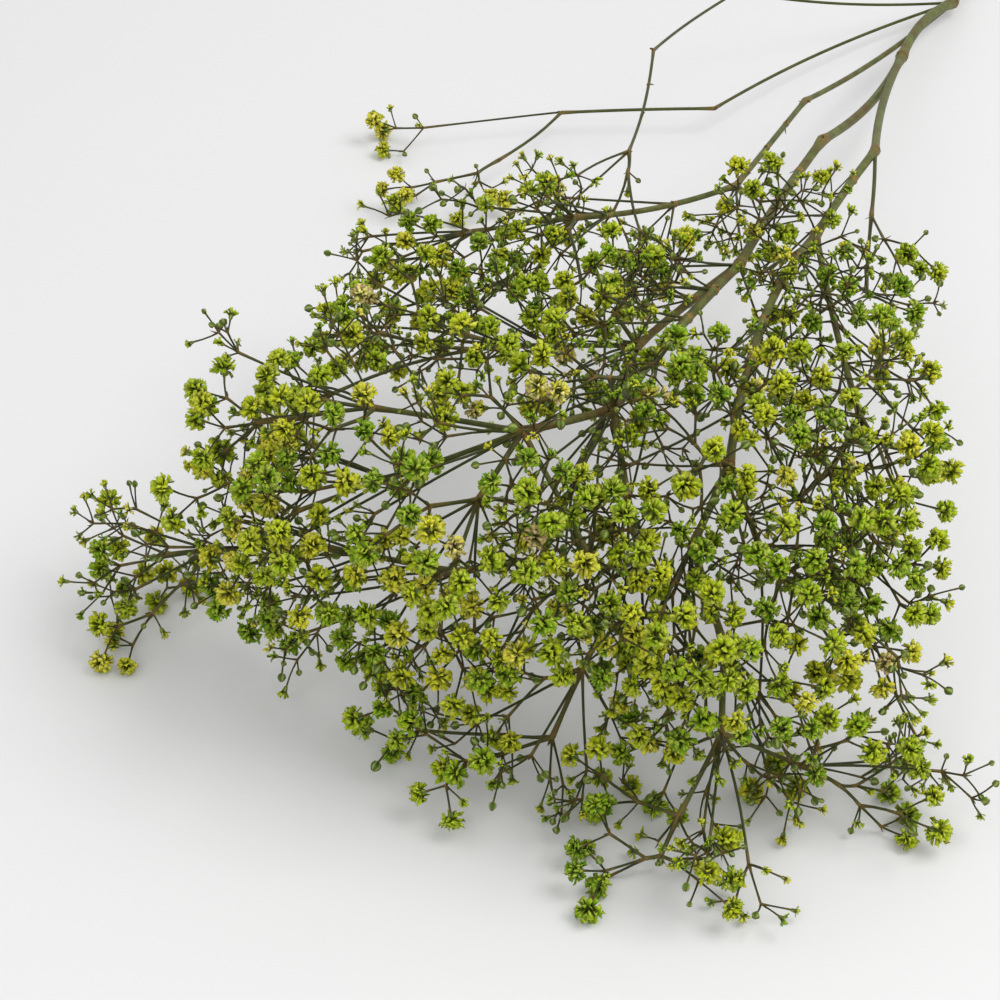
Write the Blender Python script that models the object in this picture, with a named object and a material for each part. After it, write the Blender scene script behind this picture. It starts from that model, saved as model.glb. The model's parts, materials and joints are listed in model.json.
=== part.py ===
"""A cut stem of gypsophila, dried and dyed green, lying on its side.

The stem runs back along +Y to its cut end. Its branches fan out towards -Y and hold the
sprays of small double flowers up in a dome, and the lowest sprays rest on the ground.
Distances here are in millimetres, and become metres when a mesh is made.
"""

import math
import random
from collections import namedtuple

import bpy
import numpy as np
from mathutils import Quaternion, Vector

MM = 0.001
SEED = 20

# The middle of the finished plant's box on the ground, which becomes the origin
PLANT_MIDDLE = (-3.9, 198.8)

# A branch's radius is TIP_RADIUS * (number of tips it carries) ** THICKENING
TIP_RADIUS = 0.24
THICKENING = 0.31
# The thinnest branch as a solid: three-sided, and so 0.63 mm through
THINNEST = 0.42
TAPER = 1.08
BOW = 0.035
BOWED_FROM = 50.0
# A branch of the frame runs this far past its forks, which are swollen where it is thick
ROOTED = 0.35
JOINT_WIDTH = 1.45
JOINT_LENGTH = 1.4
JOINTED_FROM = 1.4
# The sides of a tube, by its radius
MAIN_SIDES = 5
THICK_SIDES = 4
THICK_FROM = 1.3
# The piece of each side branch that the main frame keeps, and the gap to the spray on it
STUB = 4.0
JOINT_GAP = 0.3
SHARED_ARM = 4.0
# A spray's stub is longer by this many radii of the branch that it grows from
STUB_RADII = 3
LOWEST_HEART = 6.0
SHORTEST_ARM = 0.3

# A head of flowers: the depth from its first fork to its heart, and how it spreads from each
# fork, where up to three limbs lean away from the one below
HEAD_DEPTH = 12.0
SMALL_HEAD_DEPTH = 6.0
SIDES = 3
BRANCH_LEAN = (22, 50)
BRANCH_LENGTH = (7.0, 12.5)
STALK_LEAN = (30, 60)
STALK_LENGTH = (3.6, 8.4)
SIDEWAYS = 26
# How far up along the limb a stalk reaches at the least, so that none folds back
STALK_RISE = 1.0
# The height of the point between the limbs of a fork, in radii
CROWN = 0.6

# Flowers and buds
BLOOM_RADIUS = 3.4
BLOOM_HEIGHT = 3.9
PETALS = 3
# The reach of a petal and of the notch between two, in radii, and the heights of a petal, of a
# notch and of the dip in the middle, in heights of the flower
PETAL_REACH = (0.9, 1.02)
NOTCH_REACH = (0.62, 0.76)
PETAL_UP = (0.3, 0.65)
NOTCH_UP = (0.7, 1.0)
DIP = 0.58
NECK_WIDTH = 1.2
BUD_RADIUS = 1.25
BUD_HEIGHT = 2.5
# How far up a bud is widest, in heights
BUD_WAIST = 0.45
TIP_SIZE = (0.86, 1.1)

# What marks the rods of the frame, and the forks of a spray
FRAME = 0
ARMS = 0
FIRST_FORK = 10

# How far a limb keeps from another spray and from its own, and how it is moved to get there
CLEARANCE = 0.35
OWN_GAP = 0.05
ANY_TOUCH = -99.0
WANDER = 14.0
TRIES = 200
# A low flower is pressed flat on the ground by this much
PRESSED = 0.4
PRESSED_BELOW = 2.5
# The block of ground that cuts them flat
GROUND_DEPTH = 30.0
GROUND_REACH = 900.0

# Each fork of the frame: the fork that it grows from, and its place
FORKS = {
    "cut": (None, 44, 480, 1.3),
    "low": ("cut", 36, 392, 6),
    "second": ("low", 31, 325, 16),
    "third": ("second", 27, 221, 38),
    "far_a": ("low", -23, 278, 10),
    "far_b": ("far_a", -72, 259, 9),
    "far_c": ("far_b", -81, 222, 9),
    "tall_0": ("low", -28, 318, 34),
    "tall_a": ("tall_0", -34, 238, 50),
    "tall_b": ("tall_a", -18, 161, 58),
    "right_a": ("second", 46, 210, 44),
    "right_b": ("right_a", 54, 171, 45),
    "right_c": ("right_b", 60, 142, 38),
    "arch_0": ("low", 14, 251, 34),
    "arch_a": ("arch_0", 14, 166, 50),
    "arch_b": ("arch_a", -20, 117, 60),
    "arch_c": ("arch_b", -47, 106, 56),
    "arch_d": ("arch_b", -32, 95, 50),
    "mid_a": ("third", 28, 118, 54),
    "mid_b": ("mid_a", 15, 65, 58),
    "mid_c": ("mid_b", -18, 56, 56),
    "hub": ("mid_a", 25, 12, 76),
    "star": ("hub", 10, -12, 82),
    "west_a": ("star", -33, 0, 70),
    "west_b": ("star", -23, -16, 62),
    "south_a": ("star", 3, -23, 68),
    "south_b": ("star", 32, -27, 62),
    "hang_a": ("hub", 42, -18, 56),
    "hang_b": ("hang_a", 33, -33, 32),
    "hang_c": ("hang_b", 28, -40, 14),
    "deep_a": ("mid_b", 11, 0, 34),
    "deep_b": ("deep_a", -6, -14, 36),
    "deep_c": ("deep_b", -43, -14, 34),
    "left_a": ("deep_c", -73, -16, 26),
    "east_a": ("right_a", 42, 152, 47),
    "east_b": ("east_a", 55, 10, 68),
    "east_c": ("east_b", 53, -13, 60),
    "east_d": ("east_b", 67, -3, 56),
    "side_a": ("east_a", 77, 57, 56),
    "side_b": ("side_a", 77, 24, 62),
    "side_c": ("side_b", 73, 8, 64),
    "side_d": ("side_b", 86, 14, 46),
    "foot_a": ("east_c", 64, -20, 38),
    "foot_b": ("foot_a", 69, -37, 26),
    "foot_c": ("foot_b", 64, -53, 12),
    "foot_d": ("foot_b", 87, -29, 14),
}

# Each spray: the fork that it grows from, then the heart of each of its heads of flowers
# as x, y, z, flowers, buds
SPRAYS = [
    ("far_b", (-124, 230, 7, 4, 0)),
    ("far_c", (-106, 196, 7, 6, 0), (-79, 200, 6, 3, 1)),
    ("tall_b", (4, 111, 56, 5, 0), (-15, 127, 46, 4, 0)),
    ("right_b", (66, 144, 50, 4, 1)),
    ("right_c", (68, 108, 58, 6, 0)),
    ("right_c", (54, 98, 56, 7, 0)),
    ("arch_a", (26, 138, 64, 6, 1), (33, 149, 52, 5, 0)),
    ("arch_b", (0, 66, 68, 9, 0), (-28, 93, 70, 7, 1)),
    ("arch_c", (-60, 84, 54, 7, 0), (-66, 64, 44, 5, 0)),
    ("arch_c", (-45, 86, 66, 8, 1)),
    ("arch_d", (-28, 70, 62, 9, 0), (-48, 75, 50, 7, 0)),
    ("mid_b", (8, 44, 70, 8, 1), (10, 82, 66, 7, 0)),
    ("mid_c", (-53, 25, 74, 9, 0), (-60, 8, 58, 7, 1)),
    ("mid_c", (-25, 33, 68, 8, 0), (-55, 60, 60, 7, 0)),
    ("hub", (14, 2, 90, 7, 1), (36, 14, 86, 8, 0)),
    ("star", (-4, -10, 94, 5, 0)),
    ("west_a", (-52, -15, 80, 9, 0)),
    ("west_a", (-36, -35, 84, 9, 0), (-19, -34, 84, 8, 0)),
    ("west_a", (-70, -17, 66, 9, 0)),
    ("west_b", (-51, -33, 60, 8, 0), (-76, -20, 50, 8, 0)),
    ("west_b", (-42, -50, 68, 9, 0)),
    ("south_a", (7, -56, 66, 9, 0)),
    ("south_a", (-6, -50, 82, 8, 0)),
    ("south_a", (21, -42, 86, 8, 1)),
    ("south_b", (37, -36, 82, 9, 0)),
    ("south_b", (31, -46, 62, 8, 0), (18, -52, 52, 9, 0)),
    ("hang_a", (46, -40, 66, 9, 0), (22, -14, 50, 7, 0)),
    ("hang_a", (40, -44, 52, 8, 1)),
    ("hang_b", (20, -43, 31, 5, 0)),
    ("hang_c", (5, -48, 15, 5, 0), (-15, -51, 13, 5, 1)),
    ("hang_c", (1, -60, 11, 4, 0), (15, -55, 13, 4, 0)),
    ("deep_b", (-9, -44, 62, 8, 0), (-21, -43, 43, 8, 0)),
    ("deep_b", (3, -50, 41, 8, 0), (-16, -48, 28, 8, 1)),
    ("deep_c", (-55, -33, 44, 6, 0), (-58, -27, 22, 7, 0)),
    ("deep_c", (-32, -49, 58, 9, 0)),
    ("left_a", (-97, -18, 18, 8, 0)),
    ("left_a", (-83, -14, 6, 6, 0), (-91, -37, 5, 4, 1)),
    ("east_b", (52, 23, 84, 7, 0)),
    ("east_b", (41, 6, 82, 7, 0), (54, -20, 84, 7, 1)),
    ("east_c", (56, -44, 72, 7, 0), (52, -38, 50, 7, 0)),
    ("east_c", (66, -54, 62, 7, 1)),
    ("east_d", (78, -42, 60, 8, 0), (86, 2, 46, 7, 0)),
    ("east_d", (86, -28, 68, 8, 1), (69, -28, 78, 7, 0)),
    ("side_a", (94, 14, 70, 9, 0), (94, 38, 56, 7, 1)),
    ("side_a", (82, 66, 70, 7, 0), (68, 37, 73, 9, 0)),
    ("side_c", (98, -8, 74, 8, 1)),
    ("side_c", (68, 2, 82, 9, 0)),
    ("side_d", (94, -20, 42, 8, 0)),
    ("side_d", (102, -2, 54, 8, 1)),
    ("foot_a", (50, -41, 34, 8, 0)),
    ("foot_a", (65, -50, 46, 9, 0)),
    ("foot_a", (82, -44, 45, 8, 1)),
    ("foot_b", (52, -43, 15, 4, 0)),
    ("foot_b", (81, -35, 10, 5, 0)),
    ("foot_c", (43, -48, 9, 7, 1)),
    ("foot_c", (52, -67, 5, 7, 0), (72, -62, 5, 5, 0)),
    ("foot_d", (113, -37, 5, 5, 1), (109, -26, 12, 5, 0)),
    ("foot_d", (94, -34, 31, 5, 0)),
]

# A tube of the frame follows points with a radius at each
Tube = namedtuple("Tube", "points radii")
# Where a spray's head of flowers starts: the limb that it grows from, and the rest of its row
Head = namedtuple("Head", "node limb heart flowers buds number")


class Limb:
    """One run of a spray, an arm, a branch or a tip's stalk, with what grows from its end.

    Its end has three sides, at turn degrees and every third of a circle on, and each of
    them may carry one more limb.
    """

    def __init__(self, points, radius, turn, number):
        self.points = points
        self.radius = radius
        self.turn = turn
        self.number = number
        self.above = {}
        self.tip = None

    def axis(self):
        return (self.points[-1] - self.points[-2]).normalized()


Tip = namedtuple("Tip", "kind centre size pressed")


def place(name):
    return Vector(FORKS[name][1:])


def radius_for(tips):
    return max(TIP_RADIUS * tips**THICKENING, THINNEST)


def tips_carried():
    """How many flowers and buds each fork of the frame carries."""
    carried = dict.fromkeys(FORKS, 0)
    for fork, *heads in SPRAYS:
        while fork:
            carried[fork] += sum(head[3] + head[4] for head in heads)
            fork = FORKS[fork][0]
    return carried


def leaning(axis, lean, turn):
    """A direction that leans from axis by lean degrees, at turn degrees round it."""
    axis = axis.normalized()
    side = axis.orthogonal().normalized()
    side.rotate(Quaternion(axis, math.radians(turn)))
    return axis * math.cos(math.radians(lean)) + side * math.sin(math.radians(lean))


def turn_of(axis, direction):
    """How many degrees round axis a direction is, as leaning counts them."""
    axis = axis.normalized()
    zero = axis.orthogonal().normalized()
    return math.degrees(math.atan2(direction.dot(axis.cross(zero)), direction.dot(zero)))


def middle_of(limb, side):
    """The turn of the middle of one side of a limb's end."""
    return limb.turn + 360 * (side + 0.5) / SIDES


def bowed(start, end, rng):
    """A branch's three points, nearly straight, with the middle a little to one side."""
    side = leaning(end - start, 90, rng.uniform(0, 360))
    return [start, (start + end) / 2 + side * (end - start).length * BOW * rng.random(), end]


class Room:
    """The space that is taken, kept as rods with round ends. A flower is a rod of no length."""

    def __init__(self):
        self.starts = np.zeros((0, 3))
        self.ends = np.zeros((0, 3))
        self.radii = np.zeros(0)
        self.nodes = np.zeros(0, int)
        self.forks = np.zeros((0, 2), int)

    def take(self, start, end, radius, node, forks=(-1, -1)):
        """Takes a rod, which runs from one fork to another of its node."""
        self.starts = np.vstack([self.starts, start])
        self.ends = np.vstack([self.ends, end])
        self.radii = np.append(self.radii, radius)
        self.nodes = np.append(self.nodes, node)
        self.forks = np.vstack([self.forks, forks])

    def gaps(self, start, end, radius):
        """How far a rod is from each rod in here."""
        one = np.array(end - start)
        two = self.ends - self.starts
        offset = np.array(start) - self.starts
        one_one = max(one @ one, 1e-9)
        two_two = np.maximum((two * two).sum(axis=1), 1e-9)
        one_two = two @ one
        one_off = offset @ one
        two_off = (two * offset).sum(axis=1)
        across = np.maximum(one_one * two_two - one_two * one_two, 1e-9)
        s = np.clip((one_two * two_off - one_off * two_two) / across, 0, 1)
        t = np.clip((one_two * s + two_off) / two_two, 0, 1)
        s = np.clip((one_two * t - one_off) / one_one, 0, 1)
        apart = offset + one * s[:, None] - two * t[:, None]
        return np.sqrt((apart * apart).sum(axis=1)) - self.radii - radius

    def clear(self, start, end, radius, node, fork=-2, own=OWN_GAP):
        """Whether a rod keeps off the rest, but for what meets it at its own fork."""
        gaps = self.gaps(start, end, radius)
        mine = self.nodes == node
        if (gaps[~mine] < CLEARANCE).any():
            return False
        met = (self.forks == fork).any(axis=1)
        return not (gaps[mine & ~met] < own).any()


def above_ground(points, radius):
    return min(point.z for point in points) > radius + JOINT_GAP


def grow_frame(room, carried):
    """The stem and its main branches: one tube for each run between two forks."""
    rng = random.Random(SEED)
    tubes = []
    for name, (parent, *_) in FORKS.items():
        if parent:
            radius = radius_for(carried[name])
            thick = min(radius * TAPER, radius_for(carried[parent]))
            points = bowed(place(parent), place(name), rng)
            if (points[2] - points[0]).length < BOWED_FROM:
                points = [points[0], points[2]]
            tubes.append(Tube(points, (thick, radius, radius)[-len(points) :]))
            for start, end in zip(points, points[1:]):
                room.take(start, end, thick, FRAME)
    return tubes


def spray_arms(fork, heads, wander, stub_length, rng):
    """Ways for a spray's stub and arms, with each head's heart moved by up to wander."""
    hearts = []
    for x, y, z, *_ in heads:
        moved = Vector((x, y, z)) + Vector([wander * rng.uniform(-1, 1) for _ in range(3)])
        moved.z = max(moved.z, min(z, LOWEST_HEART))
        hearts.append(moved)
    away = (sum(hearts, Vector()) / len(hearts) - fork).normalized()
    stub = [fork, fork + away * stub_length]
    root = stub[1] + away * (ROOTED + JOINT_GAP)
    split = root + away * SHARED_ARM if len(heads) > 1 else root
    arms = []
    for (*_, flowers, buds), heart in zip(heads, hearts):
        depth = HEAD_DEPTH if flowers + buds > SIDES else SMALL_HEAD_DEPTH
        share = max(SHORTEST_ARM, 1 - depth / (heart - split).length)
        arms.append([split, split.lerp(heart, share)])
    return stub, root, split, arms, hearts


def grow_arms(room, node, carried):
    """Finds a clear way for a spray's arms. It gives the stub, the root limb and the heads."""
    fork_name, *heads = SPRAYS[node - 1]
    rng = random.Random(SEED + node)
    stub_length = STUB + STUB_RADII * radius_for(carried[fork_name])
    radius = radius_for(sum(head[3] + head[4] for head in heads))
    for attempt in range(TRIES):
        stub, root, split, arms, hearts = spray_arms(
            place(fork_name), heads, WANDER * attempt / TRIES, stub_length, rng
        )
        rods = [rod for points in arms for rod in zip(points, points[1:])]
        if len(heads) > 1:
            rods.append((root, split))
        if (
            above_ground([end for rod in rods for end in rod], radius)
            and room.clear(*stub, radius, FRAME, own=ANY_TOUCH)
            and all(room.clear(*rod, radius, node, own=ANY_TOUCH) for rod in rods)
        ):
            break
    else:
        print("no clear way for the spray", node, "on", fork_name)
    room.take(*stub, radius, FRAME)
    room.take(root, split, radius, node, (ARMS, ARMS))
    for side, (start, end) in enumerate(arms):
        room.take(start, end, radius, node, (ARMS, FIRST_FORK * (side + 1)))
    if len(heads) == 1:
        trunk = Limb(arms[0], radius, rng.uniform(0, 360), ARMS)
        return Tube(stub, (radius, radius)), trunk, [Head(node, trunk, hearts[0], *heads[0][3:], 0)]
    axis = split - root
    first_turn = turn_of(axis, arms[0][1] - split)
    trunk = Limb([root, split], radius, first_turn - 30, ARMS)
    starts = []
    for side, (points, heart, head) in enumerate(zip(arms, hearts, heads)):
        limb = Limb(points, radius_for(head[3] + head[4]), rng.uniform(0, 360), ARMS)
        trunk.above[side] = limb
        starts.append(Head(node, limb, heart, head[3], head[4], side))
    return Tube(stub, (radius, radius)), trunk, starts


def grow_tip(room, node, limb, side, kind, rng):
    """A flower or a bud on its stalk on one side of a limb's end, where there is room for it."""
    height = BLOOM_HEIGHT if kind == "bloom" else BUD_HEIGHT
    radius = BLOOM_RADIUS if kind == "bloom" else BUD_RADIUS
    fork = limb.points[-1]
    for _ in range(TRIES):
        size = rng.uniform(*TIP_SIZE)
        length = rng.uniform(*STALK_LENGTH) + height * size / 2
        lean = rng.uniform(*STALK_LEAN)
        turn = middle_of(limb, side) + rng.uniform(-SIDEWAYS, SIDEWAYS)
        centre = fork + leaning(limb.axis(), lean, turn) * length
        pressed = kind == "bloom" and centre.z < radius * size + PRESSED_BELOW
        if pressed:
            centre.z = radius * size - PRESSED
        neck = centre - (centre - fork).normalized() * height * size / 2
        if (
            (pressed or above_ground([centre], radius * size))
            and above_ground([neck], THINNEST)
            and (neck - fork).dot(limb.axis()) > STALK_RISE
            and room.clear(centre, centre, radius * size, node)
            and room.clear(fork, neck, THINNEST, node, limb.number)
        ):
            room.take(centre, centre, radius * size, node)
            room.take(fork, neck, THINNEST, node, (limb.number, -1))
            stalk = Limb([fork, neck], THINNEST, 0, -1)
            stalk.tip = Tip(kind, centre, size, pressed)
            limb.above[side] = stalk
            return


def grow_head(room, head):
    """A head of flowers: up to three branches from its first fork, each with up to three tips."""
    node, limb, heart, flowers, buds, number = head
    rng = random.Random(SEED * 1000 + node * 10 + number)
    kinds = ["bloom"] * flowers + ["bud"] * buds
    branches = math.ceil(len(kinds) / SIDES)
    limb.number = FIRST_FORK * (number + 1)
    if branches == 1:
        for side, kind in enumerate(kinds):
            grow_tip(room, node, limb, side, kind, rng)
        return
    for side in range(branches):
        start = limb.points[-1]
        for _ in range(TRIES):
            turn = middle_of(limb, side) + rng.uniform(-SIDEWAYS, SIDEWAYS)
            way = leaning(limb.axis(), rng.uniform(*BRANCH_LEAN), turn)
            end = start + way * rng.uniform(*BRANCH_LENGTH)
            if above_ground([end], THINNEST) and room.clear(
                start, end, THINNEST, node, limb.number
            ):
                break
        else:
            print("no room for a branch of spray", node)
            continue
        branch = Limb([start, end], THINNEST, rng.uniform(0, 360), limb.number + side + 1)
        room.take(start, end, THINNEST, node, (limb.number, branch.number))
        limb.above[side] = branch
        for tip_side, kind in enumerate(kinds[side::branches]):
            grow_tip(room, node, branch, tip_side, kind, rng)


def grow():
    """The frame's tubes, and the first limb of each spray."""
    room = Room()
    carried = tips_carried()
    tubes = grow_frame(room, carried)
    trunks = []
    heads = []
    for node in range(1, len(SPRAYS) + 1):
        stub, trunk, starts = grow_arms(room, node, carried)
        tubes.append(stub)
        trunks.append(trunk)
        heads += starts
    for head in heads:
        grow_head(room, head)
    return tubes, trunks


class Surface:
    """A closed skin of triangles, drawn from ring to ring. Each ring is a list of point numbers."""

    def __init__(self):
        self.points = []
        self.faces = []

    def ring(self, centre, axis, radii, heights=0.0, turn=0.0):
        """Points round an axis, each at its own radius and its own height along the axis."""
        axis = axis.normalized()
        if isinstance(heights, float):
            heights = [heights] * len(radii)
        first = len(self.points)
        for number, (radius, height) in enumerate(zip(radii, heights)):
            out = leaning(axis, 90, turn + 360 * number / len(radii))
            self.points.append(centre + out * radius + axis * height)
        return list(range(first, len(self.points)))

    def point(self, place):
        self.points.append(place)
        return [len(self.points) - 1]

    def bridge(self, lower, upper):
        """Triangles between two rings that run the same way, turned to match where they can be."""
        if len(lower) == len(upper):
            middles = [
                sum((self.points[k] for k in ring), Vector()) / len(ring) for ring in (lower, upper)
            ]

            def strain(shift):
                turned = upper[shift:] + upper[:shift]
                return sum(
                    (self.points[a] - middles[0] - self.points[b] + middles[1]).length
                    for a, b in zip(lower, turned)
                )

            shift = min(range(len(upper)), key=strain)
            upper = upper[shift:] + upper[:shift]
        low, high = len(lower), len(upper)
        i = j = 0
        while i < low or j < high:
            if j == high or (i < low and (i + 0.5) * high <= (j + 0.5) * low):
                if low > 1:
                    self.faces.append((lower[i], lower[(i + 1) % low], upper[j % high]))
                i += 1
            else:
                if high > 1:
                    self.faces.append((lower[i % low], upper[(j + 1) % high], upper[j]))
                j += 1

    def cap(self, ring):
        self.faces += [(ring[0], ring[k], ring[k + 1]) for k in range(1, len(ring) - 1)]

    def run(self, rings):
        for lower, upper in zip(rings, rings[1:]):
            self.bridge(lower, upper)


def tube_skin(tube, sides):
    """A branch of the frame, run a little past its ends so that it is rooted in its forks."""
    skin = Surface()
    points = list(tube.points)
    points[0] = points[0] - (points[1] - points[0]).normalized() * ROOTED
    points[-1] = points[-1] + (points[-1] - points[-2]).normalized() * ROOTED
    rings = []
    axis = points[-1] - points[0]
    for point, radius in zip(points, tube.radii):
        rings.append(skin.ring(point, axis, [radius] * sides))
    skin.run(rings)
    skin.cap(rings[0][::-1])
    skin.cap(rings[-1])
    return skin


def joint_skin(name, radius):
    """The swollen joint at a main fork: two low cones, base to base."""
    skin = Surface()
    centre = place(name)
    axis = (centre - place(FORKS[name][0])).normalized()
    width = radius * JOINT_WIDTH
    rings = [
        skin.point(centre - axis * width * JOINT_LENGTH),
        skin.ring(centre, axis, [width] * MAIN_SIDES),
        skin.point(centre + axis * width * JOINT_LENGTH),
    ]
    skin.run(rings)
    return skin


def draw_bloom(skin, limb, root_ring, rng):
    """A double flower: petals that spread round a raised middle with a dip in it."""
    axis = (limb.tip.centre - limb.points[0]).normalized()
    neck = limb.points[-1]
    radius = BLOOM_RADIUS * limb.tip.size
    height = BLOOM_HEIGHT * limb.tip.size
    turn = turn_of(axis, skin.points[root_ring[0]] - limb.points[0])
    out = []
    up = []
    for _ in range(PETALS):
        out += [radius * rng.uniform(*PETAL_REACH), radius * rng.uniform(*NOTCH_REACH)]
        up += [height * rng.uniform(*PETAL_UP), height * rng.uniform(*NOTCH_UP)]
    first = len(skin.points)
    rings = [
        skin.ring(neck, axis, [THINNEST * NECK_WIDTH] * SIDES, turn=turn),
        skin.ring(neck, axis, out, up, turn),
        skin.point(neck + axis * height * DIP),
    ]
    if limb.tip.pressed:
        sink = min(point.z for point in skin.points[first:]) + PRESSED
        for number in range(first, len(skin.points)):
            skin.points[number] = skin.points[number] - Vector((0, 0, sink))
    skin.run([root_ring] + rings)


def draw_bud(skin, limb, root_ring):
    """A closed round bud, drawn to a point."""
    axis = (limb.tip.centre - limb.points[0]).normalized()
    neck = limb.points[-1]
    size = limb.tip.size
    turn = turn_of(axis, skin.points[root_ring[0]] - limb.points[0])
    skin.run(
        [
            root_ring,
            skin.ring(neck, axis, [THINNEST] * SIDES, turn=turn),
            skin.ring(neck, axis, [BUD_RADIUS * size] * 4, BUD_HEIGHT * size * BUD_WAIST, turn),
            skin.point(neck + axis * BUD_HEIGHT * size),
        ]
    )


def draw_limb(skin, limb, root_ring, rng):
    """A limb from the ring that it starts with, and all that grows from its end."""
    if limb.tip:
        if limb.tip.kind == "bloom":
            draw_bloom(skin, limb, root_ring, rng)
        else:
            draw_bud(skin, limb, root_ring)
        return
    axis = limb.axis()
    rings = [skin.ring(point, axis, [limb.radius] * SIDES, turn=limb.turn) for point in limb.points[1:]]
    skin.run([root_ring] + rings)
    end = rings[-1]
    crown = skin.point(limb.points[-1] + axis * limb.radius * CROWN)
    for side in range(SIDES):
        wall = [end[side], end[(side + 1) % SIDES]] + crown
        if side in limb.above:
            draw_limb(skin, limb.above[side], wall, rng)
        else:
            skin.cap(wall)


def spray_skin(trunk, rng):
    skin = Surface()
    root = skin.ring(trunk.points[0], trunk.axis(), [trunk.radius] * SIDES, turn=trunk.turn)
    skin.cap(root[::-1])
    draw_limb(skin, trunk, root, rng)
    return skin


def make_material(name, colour, roughness):
    material = bpy.data.materials.new(name)
    material.use_nodes = True
    shader = material.node_tree.nodes["Principled BSDF"]
    shader.inputs["Base Color"].default_value = (*colour, 1)
    shader.inputs["Roughness"].default_value = roughness
    shader.inputs["Metallic"].default_value = 0
    return material


def solid(name, skin, material, collection):
    """One object of a skin in millimetres, with the plant's middle at the origin."""
    mesh = bpy.data.meshes.new(name)
    middle = Vector((*PLANT_MIDDLE, 0))
    mesh.from_pydata([(point - middle) * MM for point in skin.points], [], skin.faces)
    mesh.materials.append(material)
    made = bpy.data.objects.new(name, mesh)
    collection.objects.link(made)
    return made


def settle(body, others, operation, solver):
    """Applies one Boolean of body with a whole collection, and removes the collection's objects."""
    change = body.modifiers.new("joined", "BOOLEAN")
    change.operation = operation
    change.operand_type = "COLLECTION"
    change.collection = others
    change.solver = solver
    graph = bpy.context.evaluated_depsgraph_get()
    mesh = bpy.data.meshes.new_from_object(body.evaluated_get(graph))
    body.modifiers.remove(change)
    mesh.name = body.name
    body.data = mesh
    for other in list(others.objects):
        bpy.data.objects.remove(other)


def ground_skin():
    """A block whose top is the ground, which cuts the underside of what is pressed on it."""
    skin = Surface()
    middle = Vector((*PLANT_MIDDLE, -GROUND_DEPTH))
    heights = (0.0, GROUND_DEPTH)
    rings = [skin.ring(middle, Vector((0, 0, 1)), [GROUND_REACH] * 4, height) for height in heights]
    skin.run(rings)
    skin.cap(rings[0][::-1])
    skin.cap(rings[1])
    return skin


def build():
    for old in list(bpy.data.objects):
        bpy.data.objects.remove(old)
    scene = bpy.context.scene.collection
    joining = bpy.data.collections.new("joining")
    scene.children.link(joining)
    stalk = make_material("stalk", (0.055, 0.075, 0.022), 0.55)
    petal = make_material("petal", (0.42, 0.50, 0.04), 0.75)

    tubes, trunks = grow()
    rng = random.Random(SEED)
    main_tube, *other_tubes = tubes
    stem = solid("stem", tube_skin(main_tube, MAIN_SIDES), stalk, scene)
    for tube in other_tubes:
        sides = THICK_SIDES if tube.radii[0] > THICK_FROM else SIDES
        solid("branch", tube_skin(tube, sides), stalk, joining)
    for name, tips in tips_carried().items():
        if FORKS[name][0] and radius_for(tips) > JOINTED_FROM:
            solid("joint", joint_skin(name, radius_for(tips)), stalk, joining)
    settle(stem, joining, "UNION", "MANIFOLD")
    solid("ground", ground_skin(), stalk, joining)
    settle(stem, joining, "DIFFERENCE", "MANIFOLD")

    for node, trunk in enumerate(trunks, 1):
        skin = spray_skin(trunk, rng)
        spray = solid(f"spray_{node:02d}", skin, petal, scene)
        if min(point.z for point in skin.points) < 0:
            solid("ground", ground_skin(), petal, joining)
            settle(spray, joining, "DIFFERENCE", "EXACT")
    bpy.data.collections.remove(joining)


build()
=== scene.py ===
"""The look of a cut stem of gypsophila, dried and dyed green, on a pale surface."""

import json
import math
import random
from collections import namedtuple

import bpy
import numpy as np
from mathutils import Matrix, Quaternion, Vector

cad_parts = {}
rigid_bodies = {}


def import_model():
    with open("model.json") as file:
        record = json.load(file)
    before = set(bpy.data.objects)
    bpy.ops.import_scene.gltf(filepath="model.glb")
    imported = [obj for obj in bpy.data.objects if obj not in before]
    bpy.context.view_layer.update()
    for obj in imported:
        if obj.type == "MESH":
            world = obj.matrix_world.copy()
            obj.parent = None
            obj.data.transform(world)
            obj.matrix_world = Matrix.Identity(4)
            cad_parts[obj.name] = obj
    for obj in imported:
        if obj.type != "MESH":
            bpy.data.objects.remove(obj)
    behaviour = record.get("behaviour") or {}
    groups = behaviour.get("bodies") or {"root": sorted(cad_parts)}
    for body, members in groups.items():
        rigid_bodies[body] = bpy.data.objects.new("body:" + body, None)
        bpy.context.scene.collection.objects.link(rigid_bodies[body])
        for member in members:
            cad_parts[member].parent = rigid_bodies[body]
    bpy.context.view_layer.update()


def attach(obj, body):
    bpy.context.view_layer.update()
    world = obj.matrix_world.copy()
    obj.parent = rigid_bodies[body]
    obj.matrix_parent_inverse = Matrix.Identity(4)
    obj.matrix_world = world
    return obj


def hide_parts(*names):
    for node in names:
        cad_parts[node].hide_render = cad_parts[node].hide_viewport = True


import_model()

# HOW THE STEM GREW
# Stalks fork again and again, each time thinner, up to the flowers and buds. Every piece below
# grows on this tree, which is the one that the solids were made from, in millimetres.
MM = 0.001
SEED = 20

# The middle of the finished plant's box on the ground, which becomes the origin
PLANT_MIDDLE = (-3.9, 198.8)

# A branch's radius is TIP_RADIUS * (number of tips it carries) ** THICKENING
TIP_RADIUS = 0.24
THICKENING = 0.31
# The thinnest branch as a solid: three-sided, and so 0.63 mm through
THINNEST = 0.42
TAPER = 1.08
BOW = 0.035
BOWED_FROM = 50.0
# A branch of the frame runs this far past its forks, which are swollen where it is thick
ROOTED = 0.35
# The piece of each side branch that the main frame keeps, and the gap to the spray on it
STUB = 4.0
JOINT_GAP = 0.3
SHARED_ARM = 4.0
# A spray's stub is longer by this many radii of the branch that it grows from
STUB_RADII = 3
LOWEST_HEART = 6.0
SHORTEST_ARM = 0.3
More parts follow.
